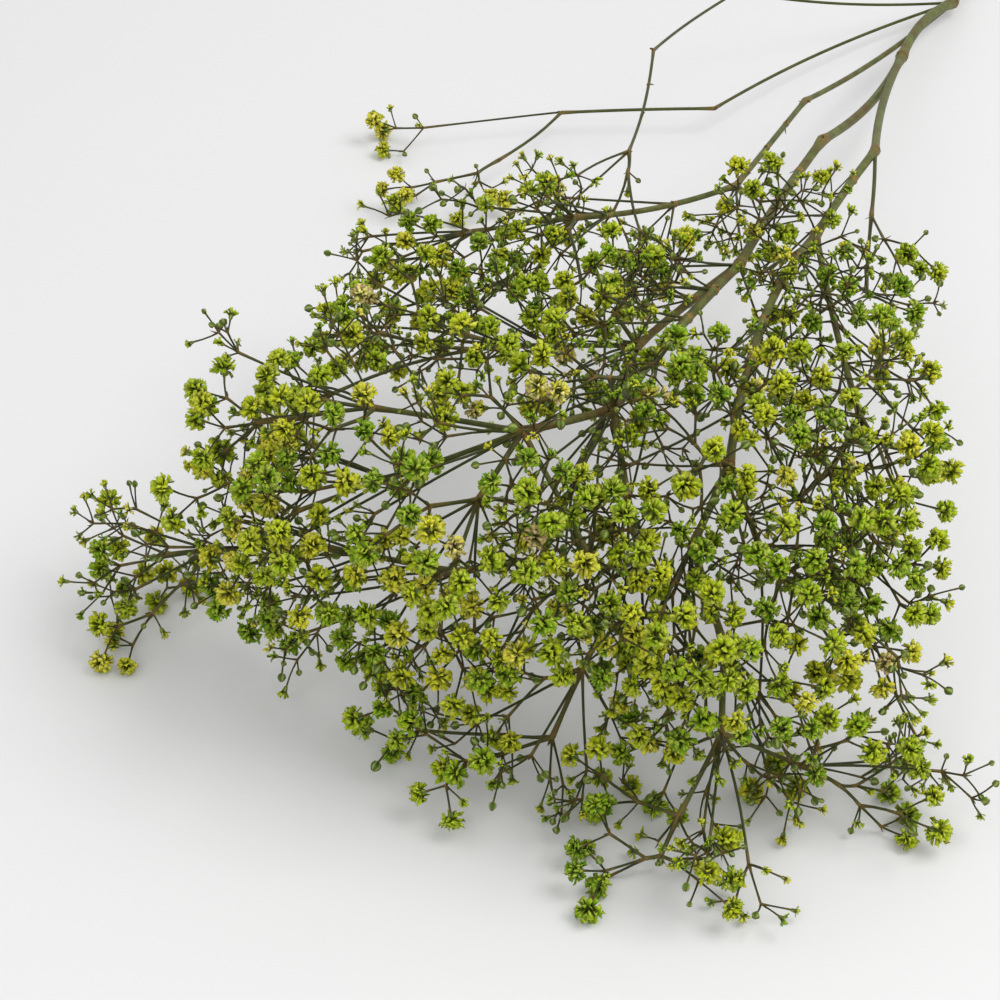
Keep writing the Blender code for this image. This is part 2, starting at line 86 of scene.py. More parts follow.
# How far into its side of a spray's trunk the first arm stands, in degrees
FIRST_ARM_IN = 30

# A head of flowers: the depth from its first fork to its heart, and how it spreads from each
# fork, where up to three limbs lean away from the one below
HEAD_DEPTH = 12.0
SMALL_HEAD_DEPTH = 6.0
SIDES = 3
BRANCH_LEAN = (22, 50)
BRANCH_LENGTH = (7.0, 12.5)
STALK_LEAN = (30, 60)
STALK_LENGTH = (3.6, 8.4)
SIDEWAYS = 26
# How far up along the limb a stalk reaches at the least, so that none folds back
STALK_RISE = 1.0

# Flowers and buds
BLOOM_RADIUS = 3.4
BLOOM_HEIGHT = 3.9
BUD_RADIUS = 1.25
BUD_HEIGHT = 2.5
TIP_SIZE = (0.86, 1.1)

# What marks the rods of the frame, and the forks of a spray
FRAME = 0
ARMS = 0
FIRST_FORK = 10

# How far a limb keeps from another spray and from its own, and how it is moved to get there
CLEARANCE = 0.35
OWN_GAP = 0.05
ANY_TOUCH = -99.0
WANDER = 14.0
TRIES = 200
# A low flower is pressed flat on the ground by this much
PRESSED = 0.4
PRESSED_BELOW = 2.5

# Each fork of the frame: the fork that it grows from, and its place
FORKS = {
    "cut": (None, 44, 480, 1.3),
    "low": ("cut", 36, 392, 6),
    "second": ("low", 31, 325, 16),
    "third": ("second", 27, 221, 38),
    "far_a": ("low", -23, 278, 10),
    "far_b": ("far_a", -72, 259, 9),
    "far_c": ("far_b", -81, 222, 9),
    "tall_0": ("low", -28, 318, 34),
    "tall_a": ("tall_0", -34, 238, 50),
    "tall_b": ("tall_a", -18, 161, 58),
    "right_a": ("second", 46, 210, 44),
    "right_b": ("right_a", 54, 171, 45),
    "right_c": ("right_b", 60, 142, 38),
    "arch_0": ("low", 14, 251, 34),
    "arch_a": ("arch_0", 14, 166, 50),
    "arch_b": ("arch_a", -20, 117, 60),
    "arch_c": ("arch_b", -47, 106, 56),
    "arch_d": ("arch_b", -32, 95, 50),
    "mid_a": ("third", 28, 118, 54),
    "mid_b": ("mid_a", 15, 65, 58),
    "mid_c": ("mid_b", -18, 56, 56),
    "hub": ("mid_a", 25, 12, 76),
    "star": ("hub", 10, -12, 82),
    "west_a": ("star", -33, 0, 70),
    "west_b": ("star", -23, -16, 62),
    "south_a": ("star", 3, -23, 68),
    "south_b": ("star", 32, -27, 62),
    "hang_a": ("hub", 42, -18, 56),
    "hang_b": ("hang_a", 33, -33, 32),
    "hang_c": ("hang_b", 28, -40, 14),
    "deep_a": ("mid_b", 11, 0, 34),
    "deep_b": ("deep_a", -6, -14, 36),
    "deep_c": ("deep_b", -43, -14, 34),
    "left_a": ("deep_c", -73, -16, 26),
    "east_a": ("right_a", 42, 152, 47),
    "east_b": ("east_a", 55, 10, 68),
    "east_c": ("east_b", 53, -13, 60),
    "east_d": ("east_b", 67, -3, 56),
    "side_a": ("east_a", 77, 57, 56),
    "side_b": ("side_a", 77, 24, 62),
    "side_c": ("side_b", 73, 8, 64),
    "side_d": ("side_b", 86, 14, 46),
    "foot_a": ("east_c", 64, -20, 38),
    "foot_b": ("foot_a", 69, -37, 26),
    "foot_c": ("foot_b", 64, -53, 12),
    "foot_d": ("foot_b", 87, -29, 14),
}

# Each spray: the fork that it grows from, then the heart of each of its heads of flowers
# as x, y, z, flowers, buds
SPRAYS = [
    ("far_b", (-124, 230, 7, 4, 0)),
    ("far_c", (-106, 196, 7, 6, 0), (-79, 200, 6, 3, 1)),
    ("tall_b", (4, 111, 56, 5, 0), (-15, 127, 46, 4, 0)),
    ("right_b", (66, 144, 50, 4, 1)),
    ("right_c", (68, 108, 58, 6, 0)),
    ("right_c", (54, 98, 56, 7, 0)),
    ("arch_a", (26, 138, 64, 6, 1), (33, 149, 52, 5, 0)),
    ("arch_b", (0, 66, 68, 9, 0), (-28, 93, 70, 7, 1)),
    ("arch_c", (-60, 84, 54, 7, 0), (-66, 64, 44, 5, 0)),
    ("arch_c", (-45, 86, 66, 8, 1)),
    ("arch_d", (-28, 70, 62, 9, 0), (-48, 75, 50, 7, 0)),
    ("mid_b", (8, 44, 70, 8, 1), (10, 82, 66, 7, 0)),
    ("mid_c", (-53, 25, 74, 9, 0), (-60, 8, 58, 7, 1)),
    ("mid_c", (-25, 33, 68, 8, 0), (-55, 60, 60, 7, 0)),
    ("hub", (14, 2, 90, 7, 1), (36, 14, 86, 8, 0)),
    ("star", (-4, -10, 94, 5, 0)),
    ("west_a", (-52, -15, 80, 9, 0)),
    ("west_a", (-36, -35, 84, 9, 0), (-19, -34, 84, 8, 0)),
    ("west_a", (-70, -17, 66, 9, 0)),
    ("west_b", (-51, -33, 60, 8, 0), (-76, -20, 50, 8, 0)),
    ("west_b", (-42, -50, 68, 9, 0)),
    ("south_a", (7, -56, 66, 9, 0)),
    ("south_a", (-6, -50, 82, 8, 0)),
    ("south_a", (21, -42, 86, 8, 1)),
    ("south_b", (37, -36, 82, 9, 0)),
    ("south_b", (31, -46, 62, 8, 0), (18, -52, 52, 9, 0)),
    ("hang_a", (46, -40, 66, 9, 0), (22, -14, 50, 7, 0)),
    ("hang_a", (40, -44, 52, 8, 1)),
    ("hang_b", (20, -43, 31, 5, 0)),
    ("hang_c", (5, -48, 15, 5, 0), (-15, -51, 13, 5, 1)),
    ("hang_c", (1, -60, 11, 4, 0), (15, -55, 13, 4, 0)),
    ("deep_b", (-9, -44, 62, 8, 0), (-21, -43, 43, 8, 0)),
    ("deep_b", (3, -50, 41, 8, 0), (-16, -48, 28, 8, 1)),
    ("deep_c", (-55, -33, 44, 6, 0), (-58, -27, 22, 7, 0)),
    ("deep_c", (-32, -49, 58, 9, 0)),
    ("left_a", (-97, -18, 18, 8, 0)),
    ("left_a", (-83, -14, 6, 6, 0), (-91, -37, 5, 4, 1)),
    ("east_b", (52, 23, 84, 7, 0)),
    ("east_b", (41, 6, 82, 7, 0), (54, -20, 84, 7, 1)),
    ("east_c", (56, -44, 72, 7, 0), (52, -38, 50, 7, 0)),
    ("east_c", (66, -54, 62, 7, 1)),
    ("east_d", (78, -42, 60, 8, 0), (86, 2, 46, 7, 0)),
    ("east_d", (86, -28, 68, 8, 1), (69, -28, 78, 7, 0)),
    ("side_a", (94, 14, 70, 9, 0), (94, 38, 56, 7, 1)),
    ("side_a", (82, 66, 70, 7, 0), (68, 37, 73, 9, 0)),
    ("side_c", (98, -8, 74, 8, 1)),
    ("side_c", (68, 2, 82, 9, 0)),
    ("side_d", (94, -20, 42, 8, 0)),
    ("side_d", (102, -2, 54, 8, 1)),
    ("foot_a", (50, -41, 34, 8, 0)),
    ("foot_a", (65, -50, 46, 9, 0)),
    ("foot_a", (82, -44, 45, 8, 1)),
    ("foot_b", (52, -43, 15, 4, 0)),
    ("foot_b", (81, -35, 10, 5, 0)),
    ("foot_c", (43, -48, 9, 7, 1)),
    ("foot_c", (52, -67, 5, 7, 0), (72, -62, 5, 5, 0)),
    ("foot_d", (113, -37, 5, 5, 1), (109, -26, 12, 5, 0)),
    ("foot_d", (94, -34, 31, 5, 0)),
]

# A tube of the frame follows points with a radius at each
Tube = namedtuple("Tube", "points radii")
# Where a spray's head of flowers starts: the limb that it grows from, and how many it has
Head = namedtuple("Head", "node limb flowers buds number")


class Limb:
    """One run of a spray, an arm, a branch or a tip's stalk, with what grows from its end.

    Its end has three sides, at turn degrees and every third of a circle on, and each of
    them may carry one more limb.
    """

    def __init__(self, points, radius, turn, number):
        self.points = points
        self.radius = radius
        self.turn = turn
        self.number = number
        self.above = {}
        self.tip = None

    def axis(self):
        return (self.points[-1] - self.points[-2]).normalized()


Tip = namedtuple("Tip", "kind centre size")


def place(name):
    return Vector(FORKS[name][1:])


def radius_for(tips):
    return max(TIP_RADIUS * tips**THICKENING, THINNEST)


def tips_carried():
    """How many flowers and buds each fork of the frame carries."""
    carried = dict.fromkeys(FORKS, 0)
    for fork, *heads in SPRAYS:
        while fork:
            carried[fork] += sum(head[3] + head[4] for head in heads)
            fork = FORKS[fork][0]
    return carried


def leaning(axis, lean, turn):
    """A direction that leans from axis by lean degrees, at turn degrees round it."""
    axis = axis.normalized()
    side = axis.orthogonal().normalized()
    side.rotate(Quaternion(axis, math.radians(turn)))
    return axis * math.cos(math.radians(lean)) + side * math.sin(math.radians(lean))


def turn_of(axis, direction):
    """How many degrees round axis a direction is, as leaning counts them."""
    axis = axis.normalized()
    zero = axis.orthogonal().normalized()
    return math.degrees(math.atan2(direction.dot(axis.cross(zero)), direction.dot(zero)))


def middle_of(limb, side):
    """The turn of the middle of one side of a limb's end."""
    return limb.turn + 360 * (side + 0.5) / SIDES


def bowed(start, end, rng):
    """A branch's three points, nearly straight, with the middle a little to one side."""
    side = leaning(end - start, 90, rng.uniform(0, 360))
    return [start, (start + end) / 2 + side * (end - start).length * BOW * rng.random(), end]


class Room:
    """The space that is taken, kept as rods with round ends. A flower is a rod of no length."""

    def __init__(self):
        self.starts = np.zeros((0, 3))
        self.ends = np.zeros((0, 3))
        self.radii = np.zeros(0)
        self.nodes = np.zeros(0, int)
        self.forks = np.zeros((0, 2), int)

    def take(self, start, end, radius, node, forks=(-1, -1)):
        """Takes a rod, which runs from one fork to another of its node."""
        self.starts = np.vstack([self.starts, start])
        self.ends = np.vstack([self.ends, end])
        self.radii = np.append(self.radii, radius)
        self.nodes = np.append(self.nodes, node)
        self.forks = np.vstack([self.forks, forks])

    def gaps(self, start, end, radius):
        """How far a rod is from each rod in here."""
        one = np.array(end - start)
        two = self.ends - self.starts
        offset = np.array(start) - self.starts
        one_one = max(one @ one, 1e-9)
        two_two = np.maximum((two * two).sum(axis=1), 1e-9)
        one_two = two @ one
        one_off = offset @ one
        two_off = (two * offset).sum(axis=1)
        across = np.maximum(one_one * two_two - one_two * one_two, 1e-9)
        s = np.clip((one_two * two_off - one_off * two_two) / across, 0, 1)
        t = np.clip((one_two * s + two_off) / two_two, 0, 1)
        s = np.clip((one_two * t - one_off) / one_one, 0, 1)
        apart = offset + one * s[:, None] - two * t[:, None]
        return np.sqrt((apart * apart).sum(axis=1)) - self.radii - radius

    def clear(self, start, end, radius, node, fork=-2, own=OWN_GAP):
        """Whether a rod keeps off the rest, but for what meets it at its own fork."""
        gaps = self.gaps(start, end, radius)
        mine = self.nodes == node
        if (gaps[~mine] < CLEARANCE).any():
            return False
        met = (self.forks == fork).any(axis=1)
        return not (gaps[mine & ~met] < own).any()


def above_ground(points, radius):
    return min(point.z for point in points) > radius + JOINT_GAP


def grow_frame(room, carried):
    """The stem and its main branches: one tube for each run between two forks."""
    rng = random.Random(SEED)
    tubes = []
    for name, (parent, *_) in FORKS.items():
        if parent:
            radius = radius_for(carried[name])
            thick = min(radius * TAPER, radius_for(carried[parent]))
            points = bowed(place(parent), place(name), rng)
            if (points[2] - points[0]).length < BOWED_FROM:
                points = [points[0], points[2]]
            tubes.append(Tube(points, (thick, radius, radius)[-len(points) :]))
            for start, end in zip(points, points[1:]):
                room.take(start, end, thick, FRAME)
    return tubes


def spray_arms(fork, heads, wander, stub_length, rng):
    """Ways for a spray's stub and arms, with each head's heart moved by up to wander."""
    hearts = []
    for x, y, z, *_ in heads:
        moved = Vector((x, y, z)) + Vector([wander * rng.uniform(-1, 1) for _ in range(3)])
        moved.z = max(moved.z, min(z, LOWEST_HEART))
        hearts.append(moved)
    away = (sum(hearts, Vector()) / len(hearts) - fork).normalized()
    stub = [fork, fork + away * stub_length]
    root = stub[1] + away * (ROOTED + JOINT_GAP)
    split = root + away * SHARED_ARM if len(heads) > 1 else root
    arms = []
    for (*_, flowers, buds), heart in zip(heads, hearts):
        depth = HEAD_DEPTH if flowers + buds > SIDES else SMALL_HEAD_DEPTH
        share = max(SHORTEST_ARM, 1 - depth / (heart - split).length)
        arms.append([split, split.lerp(heart, share)])
    return stub, root, split, arms


def grow_arms(room, node, carried):
    """Finds a clear way for a spray's arms. It gives the stub, the root limb and the heads."""
    fork_name, *heads = SPRAYS[node - 1]
    rng = random.Random(SEED + node)
    stub_length = STUB + STUB_RADII * radius_for(carried[fork_name])
    radius = radius_for(sum(head[3] + head[4] for head in heads))
    for attempt in range(TRIES):
        stub, root, split, arms = spray_arms(
            place(fork_name), heads, WANDER * attempt / TRIES, stub_length, rng
        )
        rods = [rod for points in arms for rod in zip(points, points[1:])]
        if len(heads) > 1:
            rods.append((root, split))
        if (
            above_ground([end for rod in rods for end in rod], radius)
            and room.clear(*stub, radius, FRAME, own=ANY_TOUCH)
            and all(room.clear(*rod, radius, node, own=ANY_TOUCH) for rod in rods)
        ):
            break
    room.take(*stub, radius, FRAME)
    room.take(root, split, radius, node, (ARMS, ARMS))
    for side, (start, end) in enumerate(arms):
        room.take(start, end, radius, node, (ARMS, FIRST_FORK * (side + 1)))
    if len(heads) == 1:
        trunk = Limb(arms[0], radius, rng.uniform(0, 360), ARMS)
        return Tube(stub, (radius, radius)), trunk, [Head(node, trunk, *heads[0][3:], 0)]
    axis = split - root
    first_turn = turn_of(axis, arms[0][1] - split)
    trunk = Limb([root, split], radius, first_turn - FIRST_ARM_IN, ARMS)
    starts = []
    for side, (points, head) in enumerate(zip(arms, heads)):
        limb = Limb(points, radius_for(head[3] + head[4]), rng.uniform(0, 360), ARMS)
        trunk.above[side] = limb
        starts.append(Head(node, limb, *head[3:], side))
    return Tube(stub, (radius, radius)), trunk, starts


def grow_tip(room, node, limb, side, kind, rng):
    """A flower or a bud on its stalk on one side of a limb's end, where there is room for it."""
    height = BLOOM_HEIGHT if kind == "bloom" else BUD_HEIGHT
    radius = BLOOM_RADIUS if kind == "bloom" else BUD_RADIUS
    fork = limb.points[-1]
    for _ in range(TRIES):
        size = rng.uniform(*TIP_SIZE)
        length = rng.uniform(*STALK_LENGTH) + height * size / 2
        lean = rng.uniform(*STALK_LEAN)
        turn = middle_of(limb, side) + rng.uniform(-SIDEWAYS, SIDEWAYS)
        centre = fork + leaning(limb.axis(), lean, turn) * length
        pressed = kind == "bloom" and centre.z < radius * size + PRESSED_BELOW
        if pressed:
            centre.z = radius * size - PRESSED
        neck = centre - (centre - fork).normalized() * height * size / 2
        if (
            (pressed or above_ground([centre], radius * size))
            and above_ground([neck], THINNEST)
            and (neck - fork).dot(limb.axis()) > STALK_RISE
            and room.clear(centre, centre, radius * size, node)
            and room.clear(fork, neck, THINNEST, node, limb.number)
        ):
            room.take(centre, centre, radius * size, node)
            room.take(fork, neck, THINNEST, node, (limb.number, -1))
            stalk = Limb([fork, neck], THINNEST, 0, -1)
            stalk.tip = Tip(kind, centre, size)
            limb.above[side] = stalk
            return


def grow_head(room, head):
    """A head of flowers: up to three branches from its first fork, each with up to three tips."""
    node, limb, flowers, buds, number = head
    rng = random.Random(SEED * 1000 + node * 10 + number)
    kinds = ["bloom"] * flowers + ["bud"] * buds
    branches = math.ceil(len(kinds) / SIDES)
    limb.number = FIRST_FORK * (number + 1)
    if branches == 1:
        for side, kind in enumerate(kinds):
            grow_tip(room, node, limb, side, kind, rng)
        return
    for side in range(branches):
        start = limb.points[-1]
        for _ in range(TRIES):
            turn = middle_of(limb, side) + rng.uniform(-SIDEWAYS, SIDEWAYS)
            way = leaning(limb.axis(), rng.uniform(*BRANCH_LEAN), turn)
            end = start + way * rng.uniform(*BRANCH_LENGTH)
            if above_ground([end], THINNEST) and room.clear(
                start, end, THINNEST, node, limb.number
            ):
                break
        else:
            continue
        branch = Limb([start, end], THINNEST, rng.uniform(0, 360), limb.number + side + 1)
        room.take(start, end, THINNEST, node, (limb.number, branch.number))
        limb.above[side] = branch
        for tip_side, kind in enumerate(kinds[side::branches]):
            grow_tip(room, node, branch, tip_side, kind, rng)


def grow():
    """The space taken, the frame's tubes, and the first limb of each spray."""
    room = Room()
    carried = tips_carried()
    tubes = grow_frame(room, carried)
    trunks = []
    heads = []
    for node in range(1, len(SPRAYS) + 1):
        stub, trunk, starts = grow_arms(room, node, carried)
        tubes.append(stub)
        trunks.append(trunk)
        heads += starts
    for head in heads:
        grow_head(room, head)
    return room, tubes, trunks


room, tubes, trunks = grow()

# THE STALKS
# A stem and its branches are thin and woody, and run straight from joint to joint: grey-olive
# where they are thick and nearly black where they are thin. They grew as one piece; each run
# here is a tapered tube along its path, a little swollen where it meets the next.
STALK_STEP = 6.0
# How far a run bends to one side, as a share of its length, and how thin it is to bend more
STALK_BEND = 0.012
THIN_BEND = 0.045
BENDS_BELOW = 0.5
FRAME_FACETS = 10
SPRAY_FACETS = 6
TWIG_FACETS = 5
SWELL = 0.35
# A joint's swelling reaches this many radii along a run, and this many millimetres at least
SWELL_REACH = 2.6
SHORTEST_SWELL = 0.6
FEWEST_STEPS = 3
# The runs of the frame come first in tubes, and then the stub of each spray
RUNS = len(FORKS) - 1


def curve_point(points, share):
    """The place at that share of a smooth line through two or three points."""
    if len(points) == 2:
        return points[0].lerp(points[1], share)
    first, middle, last = points
    low, high = first.lerp(middle, 2 * share), middle.lerp(last, 2 * share - 1)
    return low.lerp(high, share)


def stalk_path(points, thick, thin, rng, swell=SWELL):
    """Places along one run, with the radius and how close the joint is at each."""
    length = sum((b - a).length for a, b in zip(points, points[1:]))
    steps = max(FEWEST_STEPS, round(length / STALK_STEP))
    side = leaning(points[-1] - points[0], 90, rng.uniform(0, 360))
    most = THIN_BEND if thin < BENDS_BELOW else STALK_BEND
    bend = side * length * most * rng.random()
    path = []
    for step in range(steps + 1):
        share = step / steps
        radius = thick + (thin - thick) * share
        reach = max(SWELL_REACH * radius, SHORTEST_SWELL)
        near = sum(math.exp(-((way * length / reach) ** 2)) for way in (share, 1 - share))
        place_here = curve_point(points, share) + bend * math.sin(math.pi * share)
        path.append((place_here, radius * (1 + swell * near), near**3))
    return path


def carries(limb):
    """How many flowers and buds a limb carries."""
    return 1 if limb.tip else sum(carries(up) for up in limb.above.values())


def slim(limb):
    """A limb's real radius, which is thinner than its solid's where that is at its limit."""
    return TIP_RADIUS * max(carries(limb), 1) ** THICKENING


def limbs_of(limb):
    """A limb and all that grow from it."""
    yield limb
    for up in limb.above.values():
        yield from limbs_of(up)


def group_of(number):
    """The main branch that a spray belongs to."""
    return SPRAYS[number][0].split("_")[0]


GROUPS = {}
for number in range(len(SPRAYS)):
    GROUPS.setdefault(group_of(number), []).append(number)

path_rng = random.Random(SEED)
frame_paths = [
    stalk_path(tube.points, tube.radii[0], tube.radii[-1], path_rng) for tube in tubes[:RUNS]
]
# The first run starts at the cut, where it isn't swollen
CUT_RADIUS = tubes[0].radii[0]
frame_paths[0][:2] = [(at, CUT_RADIUS, 0.0) for at, _, _ in frame_paths[0][:2]]
# How much thicker the foot of a spray and of a limb is than its end
FOOT_OF_SPRAY = 1.15
FOOT_OF_LIMB = 1.08
spray_paths = []
for stub, trunk in zip(tubes[RUNS:], trunks):
    own = slim(trunk)
    paths = [stalk_path([stub.points[0]] + trunk.points, own * FOOT_OF_SPRAY, own, path_rng)]
    for limb in limbs_of(trunk):
        if limb is not trunk:
            below = slim(limb)
            paths.append(stalk_path(limb.points, below * FOOT_OF_LIMB, below, path_rng))
    spray_paths.append(paths)

# Thin stalks that the solids leave out. One from a flower's fork has a single bud. A twig from a
# joint of the frame, which may be long and runs close along it, forks up to twice on its way to
# its buds. Some buds are closed and some show their first petals.
PEDICELS = 2
PEDICEL_SHARE = 0.8
PEDICEL_LENGTH = (2.6, 8.0)
PEDICEL_LEAN = (38, 75)
PEDICEL_TAPER = 0.85
# Room is asked for from this far off the fork that a pedicel or a forked twig grows from
PAST_FORK = 1.2
PAST_TWIG = 1.5
# One place in so many of a stalk's path has twigs
TWIG_EVERY = 4
# Each kind of twig: how many a joint, their length, lean and radius, and forks of their own
Twigs = namedtuple("Twigs", "count length lean radius forks")
TWIGS = (
    Twigs(3, (22.0, 50.0), (5, 34), 0.33, 2),
    Twigs(2, (9.0, 24.0), (28, 70), 0.28, 1),
)
FORKED = Twigs(1, (5.0, 11.0), (18, 55), 0.25, 0)
TWIG_BUDS = 3
# Room is asked for this far from a joint of the frame: so many radii, and a millimetre
PAST_JOINT_RADII = 4
PAST_JOINT = 1
TWIG_TRIES = 40
# A twig ends this near to a full flower at the most, and its buds stay lower than that
TWIG_NEAR = 9.5
EXTRA_HIGHEST = 103.0
# Twigs grow from the forks of the plume alone, which lie nearer than this
TWIGS_FROM = 170.0
BUD_SIZE = (0.5, 0.95)
# A bud that opens is a tuft of petals this wide at size 1
OPENING_SHARE = 0.55
OPENING_SIZE = (0.48, 0.72)
OPENING_RADIUS = 2.5
OPENING_HEIGHT = 4.4
EXTRA_LOWEST = 2.0
EXTRA_NODE = 500
EXTRA_GAP = 0.3
EXTRA_TRIES = 16
ExtraTip = namedtuple("ExtraTip", "kind foot axis size")


def grow_pedicel(foot, axis, number, rng):
    """A thin stalk with a bud, where there is room for it: its path and the bud, or nothing."""
    opening = rng.random() < OPENING_SHARE
    kind, sizes, radius, height = (
        ("opening", OPENING_SIZE, OPENING_RADIUS, OPENING_HEIGHT) if opening
        else ("small bud", BUD_SIZE, BUD_RADIUS, BUD_HEIGHT)
    )
    for _ in range(EXTRA_TRIES):
        way = leaning(axis, rng.uniform(*PEDICEL_LEAN), rng.uniform(0, 360))
        end = foot + way * rng.uniform(*PEDICEL_LENGTH)
        size = rng.uniform(*sizes)
        middle = end + way * height * size / 2
        start = foot + way * PAST_FORK
        if (
            EXTRA_LOWEST < min(end.z, middle.z) < EXTRA_HIGHEST
            and room.clear(start, end, TIP_RADIUS, number, own=EXTRA_GAP)
            and room.clear(middle, middle, radius * size, number, own=EXTRA_GAP)
        ):
            room.take(start, end, TIP_RADIUS, number)
            room.take(middle, middle, radius * size, number)
            path = stalk_path([foot, end], TIP_RADIUS, TIP_RADIUS * PEDICEL_TAPER, rng)
            return path, ExtraTip(kind, end, way, size)
    return None


def grow_twig(root, axis, past, number, kind, rng):
    """A twig of that kind, clear of the rest from past on, with what it carries."""
    for _ in range(TWIG_TRIES):
        way = leaning(axis, rng.uniform(*kind.lean), rng.uniform(0, 360))
        start = root + way * past
        end = root + way * rng.uniform(*kind.length)
        if (
            EXTRA_LOWEST < end.z < EXTRA_HIGHEST
            and min((end - bloom).length for bloom in blooms) < TWIG_NEAR
            and room.clear(start, end, kind.radius, number, own=EXTRA_GAP)
        ):
            break
    else:
        return
    room.take(start, end, kind.radius, number)
    twig_paths.append(stalk_path([root, end], kind.radius * FOOT_OF_SPRAY, kind.radius, rng))
    twig_joints.append((end, way, kind.radius))
    for _ in range(kind.forks):
        grow_twig(end, way, PAST_TWIG, number, FORKED, rng)
    for _ in range(TWIG_BUDS):
        made = grow_pedicel(end, way, number, rng)
        if made:
            twig_paths.append(made[0])
            twig_tips.append(made[1])


extra_rng = random.Random(SEED + 1)
extra_tips = [[] for _ in trunks]
for number, (trunk, paths) in enumerate(zip(trunks, spray_paths)):
    for limb in [limb for limb in limbs_of(trunk) if limb.above]:
        for _ in range(PEDICELS):
            if extra_rng.random() < PEDICEL_SHARE:
                made = grow_pedicel(limb.points[-1], limb.axis(), number + 1, extra_rng)
                if made:
                    paths.append(made[0])
                    extra_tips[number].append(made[1])

# The frame's own joints, and then those that the twigs grow from
frame_ends = [(path, path[-1][0], path[-1][0] - path[0][0]) for path in frame_paths]
joints = [(end, axis, path[-1][1] / (1 + SWELL)) for path, end, axis in frame_ends]
for path, end, axis in frame_ends:
    if end.y < TWIGS_FROM:
        joints += [(at, axis, radius) for at, radius, _ in path[TWIG_EVERY:-2:TWIG_EVERY]]

blooms = [limb.tip.centre for trunk in trunks for limb in limbs_of(trunk) if limb.tip]
twig_paths, twig_tips, twig_joints = [], [], []
for number, (root, axis, radius) in enumerate(joints, EXTRA_NODE):
    if root.y < TWIGS_FROM:
        for kind in TWIGS:
            for _ in range(kind.count):
                past = radius * PAST_JOINT_RADII + PAST_JOINT
                grow_twig(root, axis, past, number, kind, extra_rng)


def node(tree, kind, **settings):
    """Adds a node to a tree, with the settings of the node itself, not of its sockets."""
    made = tree.nodes.new(kind)
    for name, value in settings.items():
        setattr(made, name, value)
    return made


def shape_tree(name, extra, kind):
    """An empty tree that takes geometry, one input of its own and a material, and gives geometry."""
    tree = bpy.data.node_groups.new(name, "GeometryNodeTree")
    for title, way, socket in (
        ("Geometry", "INPUT", "NodeSocketGeometry"),
        (extra, "INPUT", kind),
        ("Material", "INPUT", "NodeSocketMaterial"),
        ("Geometry", "OUTPUT", "NodeSocketGeometry"),
    ):
        tree.interface.new_socket(title, in_out=way, socket_type=socket)
    return tree


def named(tree, name, kind):
    """A node that reads the named attribute of each point."""
    made = node(tree, "GeometryNodeInputNamedAttribute", data_type=kind)
    made.inputs["Name"].default_value = name
    return made


def finished(tree, start, geometry):
    """Ends a tree: real geometry of the material that the tree was given."""
    real = node(tree, "GeometryNodeRealizeInstances")
    finish = node(tree, "GeometryNodeSetMaterial")
    end = node(tree, "NodeGroupOutput")
    tree.links.new(geometry, real.inputs["Geometry"])
    tree.links.new(real.outputs["Geometry"], finish.inputs["Geometry"])
    tree.links.new(start.outputs["Material"], finish.inputs["Material"])
    tree.links.new(finish.outputs["Geometry"], end.inputs["Geometry"])
    return tree


def path_tree():
    """Draws a tube along each line of edges: Sides round, as thick as its stalk_radius says."""
    tree = shape_tree("Stalks along paths", "Sides", "NodeSocketInt")
    start = node(tree, "NodeGroupInput")
    curves = node(tree, "GeometryNodeMeshToCurve")
    profile = node(tree, "GeometryNodeCurvePrimitiveCircle")
    profile.inputs["Radius"].default_value = 1
    radius = named(tree, "stalk_radius", "FLOAT")
    tube = node(tree, "GeometryNodeCurveToMesh")
    tube.inputs["Fill Caps"].default_value = True
    smooth = node(tree, "GeometryNodeSetShadeSmooth")
    link = tree.links.new
    link(start.outputs["Geometry"], curves.inputs["Mesh"])
    link(start.outputs["Sides"], profile.inputs["Resolution"])
    link(curves.outputs["Curve"], tube.inputs["Curve"])
    link(profile.outputs["Curve"], tube.inputs["Profile Curve"])
    link(radius.outputs["Attribute"], tube.inputs["Scale"])
    link(tube.outputs["Mesh"], smooth.inputs["Geometry"])
    return finished(tree, start, smooth.outputs["Geometry"])


# What is pressed on the surface that the stem lies on is flat there, in metres
LOWEST = 0.00002


def grown(name, seeds, tree, **inputs):
    """Runs a tree on a mesh of points or edges, and gives the plain mesh as an object."""
    holder = bpy.data.objects.new(name, seeds)
    bpy.context.scene.collection.objects.link(holder)
    modifier = holder.modifiers.new("grow", "NODES")
    modifier.node_group = tree
    for item in tree.interface.items_tree:
        if item.in_out == "INPUT" and item.name in inputs:
            modifier[item.identifier] = inputs[item.name]
    graph = bpy.context.evaluated_depsgraph_get()
    mesh = bpy.data.meshes.new_from_object(holder.evaluated_get(graph))
    holder.modifiers.remove(modifier)
    mesh.name = name
    for vertex in mesh.vertices:
        vertex.co.z = max(vertex.co.z, LOWEST)
    holder.data = mesh
    bpy.data.meshes.remove(seeds)
    return holder


def to_frame(point):
    """A place on the plant, in millimetres, as a place in the frame, in metres."""
    return (point - Vector((*PLANT_MIDDLE, 0))) * MM


def edge_seeds(name, paths):
    """A mesh of edges along the paths."""
    places, edges, radii, nearness = [], [], [], []
    for path in paths:
        edges += [(len(places) + k, len(places) + k + 1) for k in range(len(path) - 1)]
        for at, radius, near in path:
            places.append(to_frame(at))
            radii.append(radius * MM)
            nearness.append(min(near, 1))
    mesh = bpy.data.meshes.new(name)
    mesh.from_pydata(places, edges, [])
    for title, values in (("stalk_radius", radii), ("joint", nearness)):
        mesh.attributes.new(title, "FLOAT", "POINT").data.foreach_set("value", values)
    return mesh


